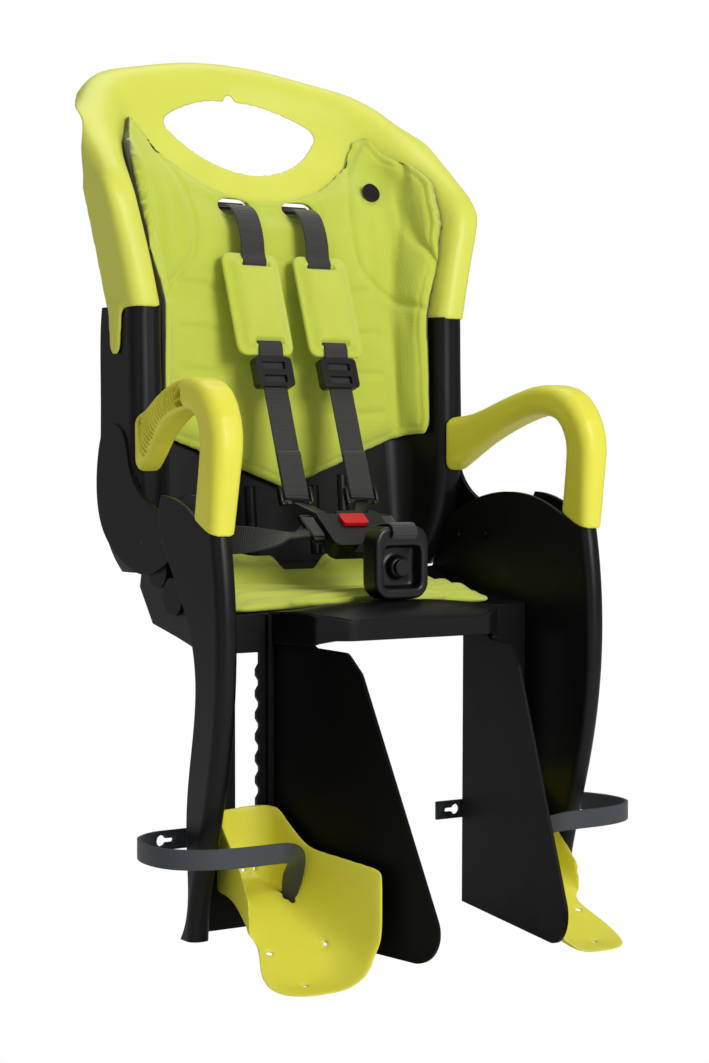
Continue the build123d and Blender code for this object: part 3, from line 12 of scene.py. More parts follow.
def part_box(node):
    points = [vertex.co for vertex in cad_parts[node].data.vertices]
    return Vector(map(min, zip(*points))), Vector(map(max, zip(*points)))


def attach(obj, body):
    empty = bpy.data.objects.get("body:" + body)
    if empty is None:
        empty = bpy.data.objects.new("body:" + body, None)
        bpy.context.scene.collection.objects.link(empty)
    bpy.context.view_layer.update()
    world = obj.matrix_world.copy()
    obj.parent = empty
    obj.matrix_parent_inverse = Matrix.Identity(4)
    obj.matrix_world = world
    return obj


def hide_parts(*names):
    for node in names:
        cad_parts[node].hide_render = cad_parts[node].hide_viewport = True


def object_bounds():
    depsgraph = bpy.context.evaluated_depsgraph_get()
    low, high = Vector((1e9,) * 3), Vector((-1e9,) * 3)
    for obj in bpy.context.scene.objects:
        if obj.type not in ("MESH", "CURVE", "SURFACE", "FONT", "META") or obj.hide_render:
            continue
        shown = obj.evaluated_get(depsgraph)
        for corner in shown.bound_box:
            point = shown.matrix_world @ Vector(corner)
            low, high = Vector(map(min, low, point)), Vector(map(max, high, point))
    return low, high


# Child bike seat, metres. +Z is up, the child faces -Y and the child's left is +X.
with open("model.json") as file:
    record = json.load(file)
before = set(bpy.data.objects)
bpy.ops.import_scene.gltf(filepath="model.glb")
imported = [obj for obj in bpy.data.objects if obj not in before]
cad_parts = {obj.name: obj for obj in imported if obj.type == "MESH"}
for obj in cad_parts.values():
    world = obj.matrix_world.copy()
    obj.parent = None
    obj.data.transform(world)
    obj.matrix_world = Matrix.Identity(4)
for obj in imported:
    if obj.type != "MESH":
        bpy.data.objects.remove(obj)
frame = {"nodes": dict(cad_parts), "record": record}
cad_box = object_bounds()
nodes = frame["nodes"]
scene = bpy.context.scene
MM = 0.001
TINY = 1e-9
SIDES = ((1, "left"), (-1, "right"))

# Colours
BLACK = (0.0036, 0.0037, 0.0041)
GUARD_BLACK = (0.0030, 0.0028, 0.0026)
YELLOW = (0.74, 0.70, 0.060)
CAP_YELLOW = (0.66, 0.69, 0.090)
LIME = (0.50, 0.57, 0.048)
WEB_GREY = (0.014, 0.013, 0.011)
RUBBER_GREY = (0.040, 0.047, 0.054)
RED = (0.55, 0.010, 0.012)
# Near-black painted shade for a cover's back and side faces, standing in for the shadow between cover
# and shell
PAINTED_SHADE_COLOR = (0.008, 0.008, 0.007)
SCREW_GREY = (0.045, 0.045, 0.048)
FLOOR_WHITE = (0.86, 0.86, 0.86)

# Scale of each material's detail, in features to the metre or in metres
MOTTLE_SCALE = 22
GRAIN_SCALE = 1500
GRAIN_HEIGHT = 0.0004
PATCH_SCALE = 35
LOOP_PITCH = 0.0013
LOOP_HEIGHT = 0.0005
RIB_PITCH = 0.0021
THREAD_PITCH = 0.0011
WEAVE_HEIGHT = 0.0006
PLATING_SCALE = 900
BAND_PITCH_AT_ONE = 0.314


# Materials
def new_material(name, color, roughness):
    """A principled material with its plain values set, and its node tree to build on."""
    material = bpy.data.materials.new(name)
    material.use_nodes = True
    shader = material.node_tree.nodes["Principled BSDF"]
    shader.inputs["Base Color"].default_value = (*color, 1)
    shader.inputs["Roughness"].default_value = roughness
    return material, shader


def add_node(material, kind, **values):
    """A shader node with its inputs set by name."""
    node = material.node_tree.nodes.new(kind)
    for key, value in values.items():
        node.inputs[key.replace("_", " ")].default_value = value
    return node


def link(material, start, end):
    """A wire from one socket to another."""
    material.node_tree.links.new(start, end)


def noise(material, place, scale, detail):
    """Noise over the object's own space, about so many grains to the metre."""
    grain = add_node(material, "ShaderNodeTexNoise", Scale=scale, Detail=detail)
    link(material, place, grain.inputs["Vector"])
    return grain.outputs["Fac"]


def spread(material, value, low, high):
    """A 0 to 1 value stretched to another range."""
    ramp = add_node(material, "ShaderNodeMapRange", To_Min=low, To_Max=high)
    link(material, value, ramp.inputs["Value"])
    return ramp.outputs["Result"]


def tint(material, value, dark, light):
    """A colour that goes from dark to light with a 0 to 1 value."""
    mix = material.node_tree.nodes.new("ShaderNodeMix")
    mix.data_type = "RGBA"
    mix.inputs["A"].default_value = (*dark, 1)
    mix.inputs["B"].default_value = (*light, 1)
    link(material, value, mix.inputs["Factor"])
    return mix.outputs["Result"]


def shade(color, share):
    """A colour made lighter or darker."""
    return [min(1.0, part * share) for part in color]


def plastic(name, color, roughness, texture, edge, gloss=0.4):
    """Moulded plastic: faint mottling, a fine grain and softened edges."""
    material, shader = new_material(name, color, roughness)
    shader.inputs["Specular IOR Level"].default_value = gloss
    place = add_node(material, "ShaderNodeTexCoord").outputs["Object"]
    mottle = noise(material, place, MOTTLE_SCALE, 3)
    grain = noise(material, place, GRAIN_SCALE, 2)
    mottled = tint(material, mottle, shade(color, 0.94), shade(color, 1.05))
    link(material, mottled, shader.inputs["Base Color"])
    uneven = spread(material, mottle, roughness - 0.05, roughness + 0.06)
    link(material, uneven, shader.inputs["Roughness"])
    bevel = add_node(material, "ShaderNodeBevel", Radius=edge)
    bevel.samples = 4
    bump = add_node(material, "ShaderNodeBump", Strength=texture, Distance=GRAIN_HEIGHT)
    link(material, grain, bump.inputs["Height"])
    link(material, bevel.outputs["Normal"], bump.inputs["Normal"])
    link(material, bump.outputs["Normal"], shader.inputs["Normal"])
    return material


def waves(material, place, axis, pitch, wander):
    """Straight bands across one axis of the given space, a pitch apart."""
    scale = BAND_PITCH_AT_ONE / pitch
    bands = add_node(material, "ShaderNodeTexWave", Scale=scale, Distortion=wander, Detail=1.0)
    bands.bands_direction = axis
    link(material, place, bands.inputs["Vector"])
    return bands.outputs["Fac"]


def multiply(material, first, second):
    """Two values multiplied."""
    node = material.node_tree.nodes.new("ShaderNodeMath")
    node.operation = "MULTIPLY"
    link(material, first, node.inputs[0])
    link(material, second, node.inputs[1])
    return node.outputs["Value"]


def fabric(name, color):
    """Knitted cover fabric: fine loops, patches of lighter and darker tone, and near-black painted
    shade where an attribute marks it.
    """
    material, shader = new_material(name, color, 0.85)
    shader.inputs["Sheen Weight"].default_value = 0.25
    shader.inputs["Sheen Roughness"].default_value = 0.6
    place = add_node(material, "ShaderNodeTexCoord").outputs["Object"]
    patches = noise(material, place, PATCH_SCALE, 4)
    rows = waves(material, place, "X", LOOP_PITCH, 0.6)
    columns = waves(material, place, "Z", LOOP_PITCH, 0.6)
    loops = multiply(material, rows, columns)
    both = multiply(material, spread(material, loops, 0.75, 1.0), spread(material, patches, 0.8, 1.15))
    face_color = tint(material, both, shade(color, 0.72), shade(color, 1.1))
    # Painted shade: the near-black colour mixed in by the attribute that marks a cover's back and side
    # faces
    side = material.node_tree.nodes.new("ShaderNodeAttribute")
    side.attribute_name = "painted_shade"
    mix = material.node_tree.nodes.new("ShaderNodeMix")
    mix.data_type = "RGBA"
    mix.inputs["B"].default_value = (*PAINTED_SHADE_COLOR, 1)
    link(material, side.outputs["Fac"], mix.inputs["Factor"])
    link(material, face_color, mix.inputs["A"])
    link(material, mix.outputs["Result"], shader.inputs["Base Color"])
    bump = add_node(material, "ShaderNodeBump", Strength=0.35, Distance=LOOP_HEIGHT)
    link(material, loops, bump.inputs["Height"])
    link(material, bump.outputs["Normal"], shader.inputs["Normal"])
    return material


def webbing(name, color):
    """Harness webbing: ribs across the strap and threads along it, by the strap's own UVs in metres."""
    material, shader = new_material(name, color, 0.62)
    shader.inputs["Sheen Weight"].default_value = 0.2
    place = add_node(material, "ShaderNodeTexCoord").outputs["UV"]
    ribs = waves(material, place, "Y", RIB_PITCH, 0.25)
    threads = waves(material, place, "X", THREAD_PITCH, 0.4)
    weave = multiply(material, spread(material, ribs, 0.25, 1.0), spread(material, threads, 0.7, 1.0))
    woven = tint(material, weave, shade(color, 0.45), shade(color, 1.35))
    link(material, woven, shader.inputs["Base Color"])
    bump = add_node(material, "ShaderNodeBump", Strength=0.8, Distance=WEAVE_HEIGHT)
    link(material, weave, bump.inputs["Height"])
    link(material, bump.outputs["Normal"], shader.inputs["Normal"])
    return material


def steel(name, color):
    """Plated screw steel."""
    material, shader = new_material(name, color, 0.32)
    shader.inputs["Metallic"].default_value = 1.0
    place = add_node(material, "ShaderNodeTexCoord").outputs["Object"]
    plating = noise(material, place, PLATING_SCALE, 3)
    link(material, spread(material, plating, 0.25, 0.42), shader.inputs["Roughness"])
    return material


FITTING_BLACK = shade(BLACK, 0.9)
PLASTICS = {
    "shell_black": dict(color=BLACK, roughness=0.36, texture=0.10, edge=0.0012, gloss=0.2),
    "guard_plastic": dict(color=GUARD_BLACK, roughness=0.45, texture=0.10, edge=0.0008, gloss=0.08),
    "fitting_black": dict(color=FITTING_BLACK, roughness=0.34, texture=0.05, edge=0.0008, gloss=0.35),
    "yellow_plastic": dict(color=YELLOW, roughness=0.42, texture=0.06, edge=0.0012),
    "cap_plastic": dict(color=CAP_YELLOW, roughness=0.42, texture=0.06, edge=0.0014),
    "strap_rubber": dict(color=RUBBER_GREY, roughness=0.52, texture=0.15, edge=0.0006),
    "button_red": dict(color=RED, roughness=0.25, texture=0.02, edge=0.0008),
}
materials = {name: plastic(name, **values) for name, values in PLASTICS.items()}
materials["pad_fabric"] = fabric("pad_fabric", LIME)
materials["webbing"] = webbing("webbing", WEB_GREY)
materials["fasteners"] = steel("fasteners", SCREW_GREY)

# CAD nodes keep their shape and take these materials
for entry in frame["record"]["subparts"]:
    node = nodes[entry["node"]]
    look = "cap_plastic" if entry["node"] == "headrest_shell" else entry["material_slot"]
    node.data.materials.clear()
    node.data.materials.append(materials[look])


def new_object(name, mesh, material, body, replaced):
    """A piece of the object: its look, what it rides on and the CAD nodes that it stands for."""
    piece = bpy.data.objects.new(name, mesh)
    scene.collection.objects.link(piece)
    mesh.materials.clear()
    mesh.materials.append(materials[material])
    for face in mesh.polygons:
        face.use_smooth = True
    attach(piece, body)
    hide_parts(*replaced)
    return piece


# Working meshes
SWELL_FRAMES = 20
SWELL_PRESSURE = 4.0
SWELL_QUALITY = 4
SIDE_FACING = 0.5
FAR = 1.0


def points(mesh):
    """A mesh's corner places as rows."""
    flat = np.empty(3 * len(mesh.vertices))
    mesh.vertices.foreach_get("co", flat)
    return flat.reshape(-1, 3)


def set_points(mesh, places):
    """New places for a mesh's corners."""
    mesh.vertices.foreach_set("co", places.ravel())
    mesh.update()


def normals(mesh):
    """A mesh's corner normals as rows."""
    flat = np.empty(3 * len(mesh.vertices))
    mesh.vertex_normals.foreach_get("vector", flat)
    return flat.reshape(-1, 3)


def work_object(mesh):
    """An object to hang modifiers on, until it is applied."""
    form = bpy.data.objects.new("form", mesh)
    scene.collection.objects.link(form)
    return form


def applied(form):
    """The mesh of a working object with its modifiers, the object itself gone."""
    view = bpy.context.evaluated_depsgraph_get()
    mesh = bpy.data.meshes.new_from_object(form.evaluated_get(view))
    bpy.data.objects.remove(form)
    return mesh


def finished(work, name):
    """A mesh from its finished work mesh."""
    mesh = bpy.data.meshes.new(name)
    work.to_mesh(mesh)
    work.free()
    return mesh


def remeshed(node, voxel):
    """A node's solid as an even mesh of small faces."""
    form = work_object(nodes[node].data.copy())
    remesh = form.modifiers.new("remesh", "REMESH")
    remesh.mode = "VOXEL"
    remesh.voxel_size = voxel
    return applied(form)


def finer(mesh):
    """The mesh subdivided once."""
    form = work_object(mesh)
    form.modifiers.new("subdivide", "SUBSURF").levels = 1
    return applied(form)


def averaged(mesh, rows, times, share=0.5):
    """Rows of values at a mesh's corners, drawn towards their neighbours' mean by a share."""
    ends = np.empty(2 * len(mesh.edges), dtype=int)
    mesh.edges.foreach_get("vertices", ends)
    first, second = ends.reshape(-1, 2).T
    count = len(mesh.vertices)
    valence = np.bincount(ends, minlength=count)[:, None]
    for _ in range(times):
        total = np.zeros_like(rows)
        for column in range(rows.shape[1]):
            total[:, column] = np.bincount(first, rows[second, column], count)
            total[:, column] += np.bincount(second, rows[first, column], count)
        rows = rows + (total / valence - rows) * share
    return rows


def blurred(mesh, values, times):
    """One value at each corner, drawn towards its neighbours' mean."""
    return averaged(mesh, values[:, None], times)[:, 0]


def relax(mesh, times, share=0.5):
    """Corners drawn towards the middle of their neighbours, by one share or by a row of them."""
    set_points(mesh, averaged(mesh, points(mesh), times, share))


def nearest_of(places, chosen):
    """Distance of each corner from the nearest of the chosen ones."""
    tree = KDTree(len(chosen))
    for index in chosen:
        tree.insert(places[index], index)
    tree.balance()
    return np.array([tree.find(place)[2] for place in places])


def swell(mesh, cap):
    """The form blown up by a cloth simulation, no corner moved further than its own cap."""
    start = points(mesh)
    form = work_object(mesh)
    cloth = form.modifiers.new("cloth", "CLOTH")
    cloth.settings.quality = SWELL_QUALITY
    cloth.settings.use_pressure = True
    cloth.settings.uniform_pressure_force = SWELL_PRESSURE
    cloth.settings.effector_weights.gravity = 0
    for number in range(1, SWELL_FRAMES + 1):
        scene.frame_set(number)
    mesh = applied(form)
    scene.frame_set(1)
    move = points(mesh) - start
    far = np.linalg.norm(move, axis=1)
    move *= np.minimum(1, cap / np.maximum(far, TINY))[:, None]
    set_points(mesh, start + move)
    return mesh


def rise(value, low, high):
    """0 below low, 1 above high and a smooth step between."""
    share = np.clip((value - low) / (high - low), 0, 1)
    return share * share * (3 - 2 * share)


def curve_through(line, steps):
    """A smooth line through points of any dimension."""
    line = [np.array(point, dtype=float) for point in line]
    line = [2 * line[0] - line[1], *line, 2 * line[-1] - line[-2]]
    smooth = []
    for before, start, end, after in zip(line, line[1:], line[2:], line[3:]):
        slope_in = (end - before) / 2
        slope_out = (after - start) / 2
        bend = 3 * (end - start) - 2 * slope_in - slope_out
        twist = slope_in + slope_out - 2 * (end - start)
        for step in range(steps):
            share = step / steps
            smooth.append(start + share * (slope_in + share * (bend + share * twist)))
    smooth.append(line[-2])
    return np.array(smooth)


def line_distance(flat, line):
    """Distance of each flat point from a line of straight runs."""
    best = np.full(len(flat), FAR)
    for start, end in zip(line[:-1], line[1:]):
        run = end - start
        share = np.clip((flat - start) @ run / (run @ run), 0, 1)
        best = np.minimum(best, np.linalg.norm(flat - start - share[:, None] * run, axis=1))
    return best


def edge_distance(places, facing):
    """Distance of each corner from the pad's side faces, where the facing is neither front nor back."""
    return nearest_of(places, np.flatnonzero(np.abs(facing) < SIDE_FACING))


def away_from(places, names):
    """The way from the nearest of some nodes to each corner."""
    work = bmesh.new()
    for name in names:
        work.from_mesh(nodes[name].data)
    tree = BVHTree.FromBMesh(work)
    nearest = np.array([tree.find_nearest(place)[0] for place in places])
    work.free()
    away = places - nearest
    return away / np.maximum(np.linalg.norm(away, axis=1), TINY)[:, None]


def along(rows, others):
    """Row by row dot product."""
    return (rows * others).sum(axis=1)


def unit(rows):
    """Rows made one long."""
    return rows / np.linalg.norm(rows, axis=1)[:, None]


# Padded covers: a sewn line is a width and a depth, and a pair of places is where a share rises
BINDING = 0.007
FRONT_FACING = (0.2, 0.6)
# Facing and share that decide where the back cover's back and side faces get painted shade
PAINTED_SHADE_FACING = (0.0, 0.35)
PAINTED_SHADE_EDGE = (0.35, 0.65)
BACK_NODES = ["headrest_shell", "backrest_shell"]
BACK_VOXEL = 0.0033
BACK_PUFF = (0.0026, 0.0036)
BACK_PUFF_WITHIN = (0.0, 0.022)
PAD_BUTTON = (0.124, 0.415)
PAD_BUTTON_CLEAR = (0.010, 0.026)
BACK_BINDING_SEAM = (0.0014, 0.0011)
PETAL_OUTER = [
    (125, 460), (104, 432), (87, 390), (85, 352),
    (94, 328), (116, 308), (129, 297), (146, 291),
]
PETAL_OUTER_SEAM = (0.0032, 0.0030)
PETAL_INNER = [(145, 440), (141, 416), (138, 390), (140, 360), (150, 335)]
PETAL_INNER_SEAM = (0.0030, 0.0044)
PETAL_FROM = (0.337, 0.352)
PETAL_TO = (0.425, 0.440)
PETAL_SLOPE = 0.5
PETAL_WIDTH = 0.024
CHANNEL_HEIGHTS = [309, 270, 232, 196]
CHANNEL_X = (46, 104)
CHANNEL_SEAM = (0.0034, 0.0020)
FOLD_DEPTH = 0.0009
FOLDS_ACROSS = 310
FOLDS_WANDER = 1.5
FOLDS_WANDER_DOWN = 22
FOLDS_FROM = (0.30, 0.34)
FOLDS_TO = (0.38, 0.43)
FOLDS_BEYOND = (0.085, 0.10)
FOLDS_WITHIN = (0.006, 0.018)
SEAT_VOXEL = 0.004
SEAT_PUFF = (0.0006, 0.0050)
SEAT_PUFF_WITHIN = (0.0, 0.02)
SEAT_BINDING_SEAM = (0.0016, 0.0015)
SEAT_WAVE_DEPTH = 0.0028
SEAT_WAVES_BACK = 260
SEAT_WAVES_ASIDE = 14
SEAT_WAVES_WANDER = 1.6
SEAT_WAVES_WANDER_ASIDE = 24
SEAT_WAVES_WITHIN = (0.004, 0.02)
REAR_LIFT = 0.024
REAR_LIFT_FROM = (0.035, 0.088)
REAR_CUT_OUT = (0.015, 0.030)
REAR_CUT_OUT_LIFT = 0.25
REAR_CORNER = (0.07, 0.115)
REAR_CORNER_DROP = 0.6


def groove(distance, seam):
    """Depth of a sewn line at a distance from its middle."""
    width, depth = seam
    return depth * np.exp(-((distance / width) ** 2))


def puffed(edge, facing, puff, within):
    """How far a cover swells: least at its edge, more inside it and not at all on its back."""
    least, more = puff
    return (least + more * rise(edge, *within)) * (facing > -SIDE_FACING)


def back_relief(flat, edge):
    """Depth of the back cover's binding, sewn petals, channels and loose folds, by width and height."""
    aside, height = flat.T
    depth = groove(edge - BINDING, BACK_BINDING_SEAM)
    depth += groove(line_distance(flat, curve_through(PETAL_OUTER, 6) * MM), PETAL_OUTER_SEAM)
    depth += groove(line_distance(flat, curve_through(PETAL_INNER, 6) * MM), PETAL_INNER_SEAM)
    for level_mm in CHANNEL_HEIGHTS:
        line = np.array([(CHANNEL_X[0], level_mm - 1), (CHANNEL_X[1], level_mm + 1)]) * MM
        depth += groove(line_distance(flat, line), CHANNEL_SEAM)
    folds = np.sin(aside * FOLDS_ACROSS + FOLDS_WANDER * np.sin(height * FOLDS_WANDER_DOWN))
    folds *= rise(height, *FOLDS_FROM) * rise(edge, *FOLDS_WITHIN)
    depth += FOLD_DEPTH * folds * rise(aside, *FOLDS_BEYOND) * (1 - rise(height, *FOLDS_TO))
    petal_x, petal_z = np.array(PETAL_INNER[::-1]).T * MM
    beyond = np.clip(aside - np.interp(height, petal_z, petal_x), 0, PETAL_WIDTH)
    within = rise(height, *PETAL_FROM) * (1 - rise(height, *PETAL_TO))
    return depth - PETAL_SLOPE * beyond * within


def make_back_pad():
    """The back cover: puffed, bound round its edge, with sewn petals and short channels."""
    mesh = remeshed("back_pad", BACK_VOXEL)
    relax(mesh, 8)
    places = points(mesh)
    facing = along(normals(mesh), away_from(places, BACK_NODES))
    puff = puffed(edge_distance(places, facing), facing, BACK_PUFF, BACK_PUFF_WITHIN)
    button = np.hypot(places[:, 0] - PAD_BUTTON[0], places[:, 2] - PAD_BUTTON[1])
    puff *= rise(button, *PAD_BUTTON_CLEAR)
    mesh = swell(mesh, blurred(mesh, puff, 6))
    relax(mesh, 6)
    mesh = finer(mesh)
    relax(mesh, 8)
    places = points(mesh)
    away = away_from(places, BACK_NODES)
    facing = along(normals(mesh), away)
    flat = np.column_stack([np.abs(places[:, 0]), places[:, 2]])
    depth = back_relief(flat, edge_distance(places, facing)) * rise(facing, *FRONT_FACING)
    set_points(mesh, places - away * blurred(mesh, depth, 2)[:, None])
    piece = new_object("back_pad_cover", mesh, "pad_fabric", "seat", ["back_pad"])
    # Painted shade: the back and side faces, blurred onto the edges, marked for the near-black colour
    painted_shade_share = blurred(mesh, 1 - rise(facing, *PAINTED_SHADE_FACING), 18)
    painted_shade = mesh.attributes.new("painted_shade", "FLOAT", "POINT")
    painted_shade.data.foreach_set("value", rise(painted_shade_share, *PAINTED_SHADE_EDGE))


def make_seat_pad():
    """The seat cover: a puffed mat with soft waves, its rear edge turned up beside a cut-out."""
    mesh = remeshed("seat_pad", SEAT_VOXEL)
    relax(mesh, 3)
    places = points(mesh)
    facing = normals(mesh)[:, 2]
    mesh = swell(mesh, puffed(edge_distance(places, facing), facing, SEAT_PUFF, SEAT_PUFF_WITHIN))
    relax(mesh, 4)
    mesh = finer(mesh)
    places = points(mesh)
    facing = normals(mesh)[:, 2]
    edge = edge_distance(places, facing)
    x, y = places[:, 0], places[:, 1]
    wander = SEAT_WAVES_WANDER * np.sin(x * SEAT_WAVES_WANDER_ASIDE)
    ripple = np.sin(y * SEAT_WAVES_BACK + wander + x * SEAT_WAVES_ASIDE)
    hollow = SEAT_WAVE_DEPTH * ripple * rise(edge, *SEAT_WAVES_WITHIN)
    hollow += groove(edge - BINDING, SEAT_BINDING_SEAM)
    wide = np.abs(x)
    lift = REAR_LIFT * rise(y, *REAR_LIFT_FROM)
    lift *= REAR_CUT_OUT_LIFT + (1 - REAR_CUT_OUT_LIFT) * rise(wide, *REAR_CUT_OUT)
    lift *= 1 - REAR_CORNER_DROP * rise(wide, *REAR_CORNER)
    places[:, 2] += lift - hollow * rise(facing, *FRONT_FACING)
    set_points(mesh, places)
    piece = new_object("seat_pad_cover", mesh, "pad_fabric", "seat", ["seat_pad"])


# Harness, in millimetres where a value isn't scaled
STRAP_X = 34.5
STRAP_ARCH = [(138, 385), (125, 384.5), (113, 382.5), (103, 376), (95.5, 364), (91, 350)]
STRAP_BEND = (96, 345)
STRAP_LOW = (20, 125)
STRAP_RUN = math.dist(STRAP_BEND, STRAP_LOW)
STRAP_WAY = np.array([0, STRAP_LOW[0] - STRAP_BEND[0], STRAP_LOW[1] - STRAP_BEND[1]]) / STRAP_RUN
STRAP_OUT = np.array([0, STRAP_WAY[2], -STRAP_WAY[1]])
STRAP_LIFTS = [
    (8, 4.2), (16, 4.6), (22, 1.0), (30, 0), (82, 0),
    (90, 1.5), (95, 4.6), (103, 3.8), (112, 0.8), (122, 0),
]
STRAP_PAST = 6
FOLD_LENGTH = 44
FOLD_LAYER = 1.05
HOOK_BACK = -1.5
HOOK_BAR_AT = 8
HOOK_BAR = (16.5, 3.0, 2.0)
HOOK_CHEEK_AT = (15.5, 3)
HOOK_CHEEK = (1.8, 8.0, 3.0)
HOOK_END_AT = (13.8, 10.2)
HOOK_END_OUT = 0.6
HOOK_END = (3.2, 1.6, 2.6)
BLADE_AT = 7
BLADE_ROOT = (7.0, 1.3, 0)
BLADE_TIP = (6.0, 1.3, 0)
BLADE_BEVEL = 0.6
TONGUE_END = 17
BUCKLE_MIDDLE = np.array([0, -22, 90])
BUCKLE_LEAN = math.radians(38)
BUCKLE_UP = np.array([0, math.cos(BUCKLE_LEAN), math.sin(BUCKLE_LEAN)])
BUCKLE_OUT = np.array([0, -math.sin(BUCKLE_LEAN), math.cos(BUCKLE_LEAN)])
BUCKLE_HALF_HEIGHT = 23
WAIST_PLATE_MIDDLE = BUCKLE_MIDDLE + BUCKLE_UP * 7
WAIST_PLATE_AT = 36
WAIST_PLATE = (6.0, 11.0, 2.0)
WAIST_PLATE_BACK = 0.5
WAIST_BAR_AT = 44
WAIST_BAR = (2.2, 16.0, 2.2)
WAIST_CHEEK_AT = (41, 15)
WAIST_CHEEK = (6.0, 1.8, 2.8)
WAIST_LINE = [
    (104, 102, 84), (103, 72, 84), (92, 38, 84.5),
    (74, 14, 85), (57, -4, 87.5), (44, -17.7, 95.9),
]
WAIST_TURN = [(0, 0), (0.4, 4), (0.84, 80), (1, 52)]
WAIST_FOLD = [(3, 3), (-9, 2.6)]
CROTCH_LINE = [
    (-86, 88.1), (-95, 88.1), (-98, 93), (-94, 99.6),
    (-83, 100.2), (-72, 98), (-57, 87), (-41.05, 75.35),
]
SLEEVE_VOXEL = 0.0018
SLEEVE_HALF = (0.029, 0.049)
SLEEVE_BORDER = 0.0055
SLEEVE_SHOULDER = 0.005
SLEEVE_FLATTENED = 0.60
SLEEVE_PUFF = 0.0026
SLEEVE_OUTWARD = 3
TUNNEL_HALF = (0.0145, 0.0022)
TUNNEL_WITHIN = 0.001
SLIT_ALONG = 37
SLIT_SEAM = (0.0022, 0.0045)
SLIT_BESIDE = (0.014, 0.016)
SLIT_FRONT = (0.001, 0.003)
WEB_WIDTH = 0.025
WEB_THICK = 0.0016
WEB_EDGE = 0.0006


def strap_mesh(name, strips, width, thickness):
    """Flat strap along lines of places, with the way of its width at each, and UVs in metres."""
    half = width / 2
    flat = half - WEB_EDGE
    thick = thickness / 2
    section = [(-half, 0), (-flat, thick), (flat, thick), (half, 0), (flat, -thick), (-flat, -thick)]
    work = bmesh.new()
    chart = work.loops.layers.uv.new("UVMap")
    for line, across in strips:
        out = unit(np.cross(across, np.gradient(line, axis=0)))
        runs = np.append(0, np.cumsum(np.linalg.norm(np.diff(line, axis=0), axis=1)))
        rings = []
        for place, side, up in zip(line, across, out):
            rings.append([work.verts.new(place + side * u + up * h) for u, h in section])
        for start, end, first, second in zip(rings, rings[1:], runs, runs[1:]):
            for index in range(len(section)):
                after = (index + 1) % len(section)
                face = work.faces.new([start[index], start[after], end[after], end[index]])
                corners = [(index, first), (after, first), (after, second), (index, second)]
                for loop, (corner, run) in zip(face.loops, corners):
                    loop[chart].uv = (section[corner][0], run)
                work.edges.get((start[index], end[index])).smooth = False
        work.faces.new(rings[0])
        work.faces.new(rings[-1])
    bmesh.ops.recalc_face_normals(work, faces=work.faces)
    return finished(work, name)


def strap(name, strips, replaced):
    """A harness strap on the seat."""
    mesh = strap_mesh(name, strips, WEB_WIDTH, WEB_THICK)
    new_object(name, mesh, "webbing", "seat", replaced)


def level(line, across):
    """A line with the same width's way all along."""
    return line, np.tile(np.array(across, dtype=float), (len(line), 1))


def down_strap(x, run, out):
    """A place down a shoulder strap's straight run and out from its middle plane."""
    return np.array([x, *STRAP_BEND]) + STRAP_WAY * run + STRAP_OUT * out


def make_shoulder_strap(side, label):
    """The strap over the pad's ends and through it to the tongue, with its sewn fold at the end."""
    x = side * STRAP_X
    knots = [(x, *point) for point in STRAP_ARCH]
    knots += [down_strap(x, run, lift) for run, lift in STRAP_LIFTS]
    low = down_strap(x, STRAP_RUN + STRAP_PAST, 0)
    knots += list(np.linspace(knots[-1], low, 8)[1:])
    layer = STRAP_OUT * FOLD_LAYER * WEB_THICK / MM
    fold = np.linspace(low - STRAP_WAY * FOLD_LENGTH + layer, low + layer, 12)
    strips = [level(curve_through(knots, 6) * MM, (1, 0, 0)), level(fold * MM, (1, 0, 0))]
    strap("shoulder_webbing_" + label, strips, ["shoulder_strap_" + label])


def rounded_block(work, corners, bevel):
    """A block between two four-cornered ends, with its edges rounded, given in millimetres."""
    verts = [work.verts.new(corner * MM) for corner in corners]
    faces = [(0, 1, 2, 3), (7, 6, 5, 4), (0, 4, 5, 1), (1, 5, 6, 2), (2, 6, 7, 3), (3, 7, 4, 0)]
    made = [work.faces.new([verts[index] for index in face]) for face in faces]
    bmesh.ops.recalc_face_normals(work, faces=made)
    edges = list({edge for face in made for edge in face.edges})
    bmesh.ops.bevel(work, geom=edges, offset=bevel * MM, segments=3, profile=0.5, affect="EDGES")


def box_corners(middle, ways, halves):
    """The eight corners of a block about a middle, by its half sizes along three ways."""
    across, up, out = [np.array(way) * half for way, half in zip(ways, halves)]
    end = [-across - up, across - up, across + up, -across + up]
    return [middle + corner - out for corner in end] + [middle + corner + out for corner in end]


def bar(work, middle, ways, halves, bevel):
    """A rounded bar about a middle."""
    rounded_block(work, box_corners(middle, ways, halves), bevel)


def fitting(name, work, replaced):
    """A black fitting on the seat from its finished work mesh."""
    new_object(name, finished(work, name), "fitting_black", "seat", replaced)


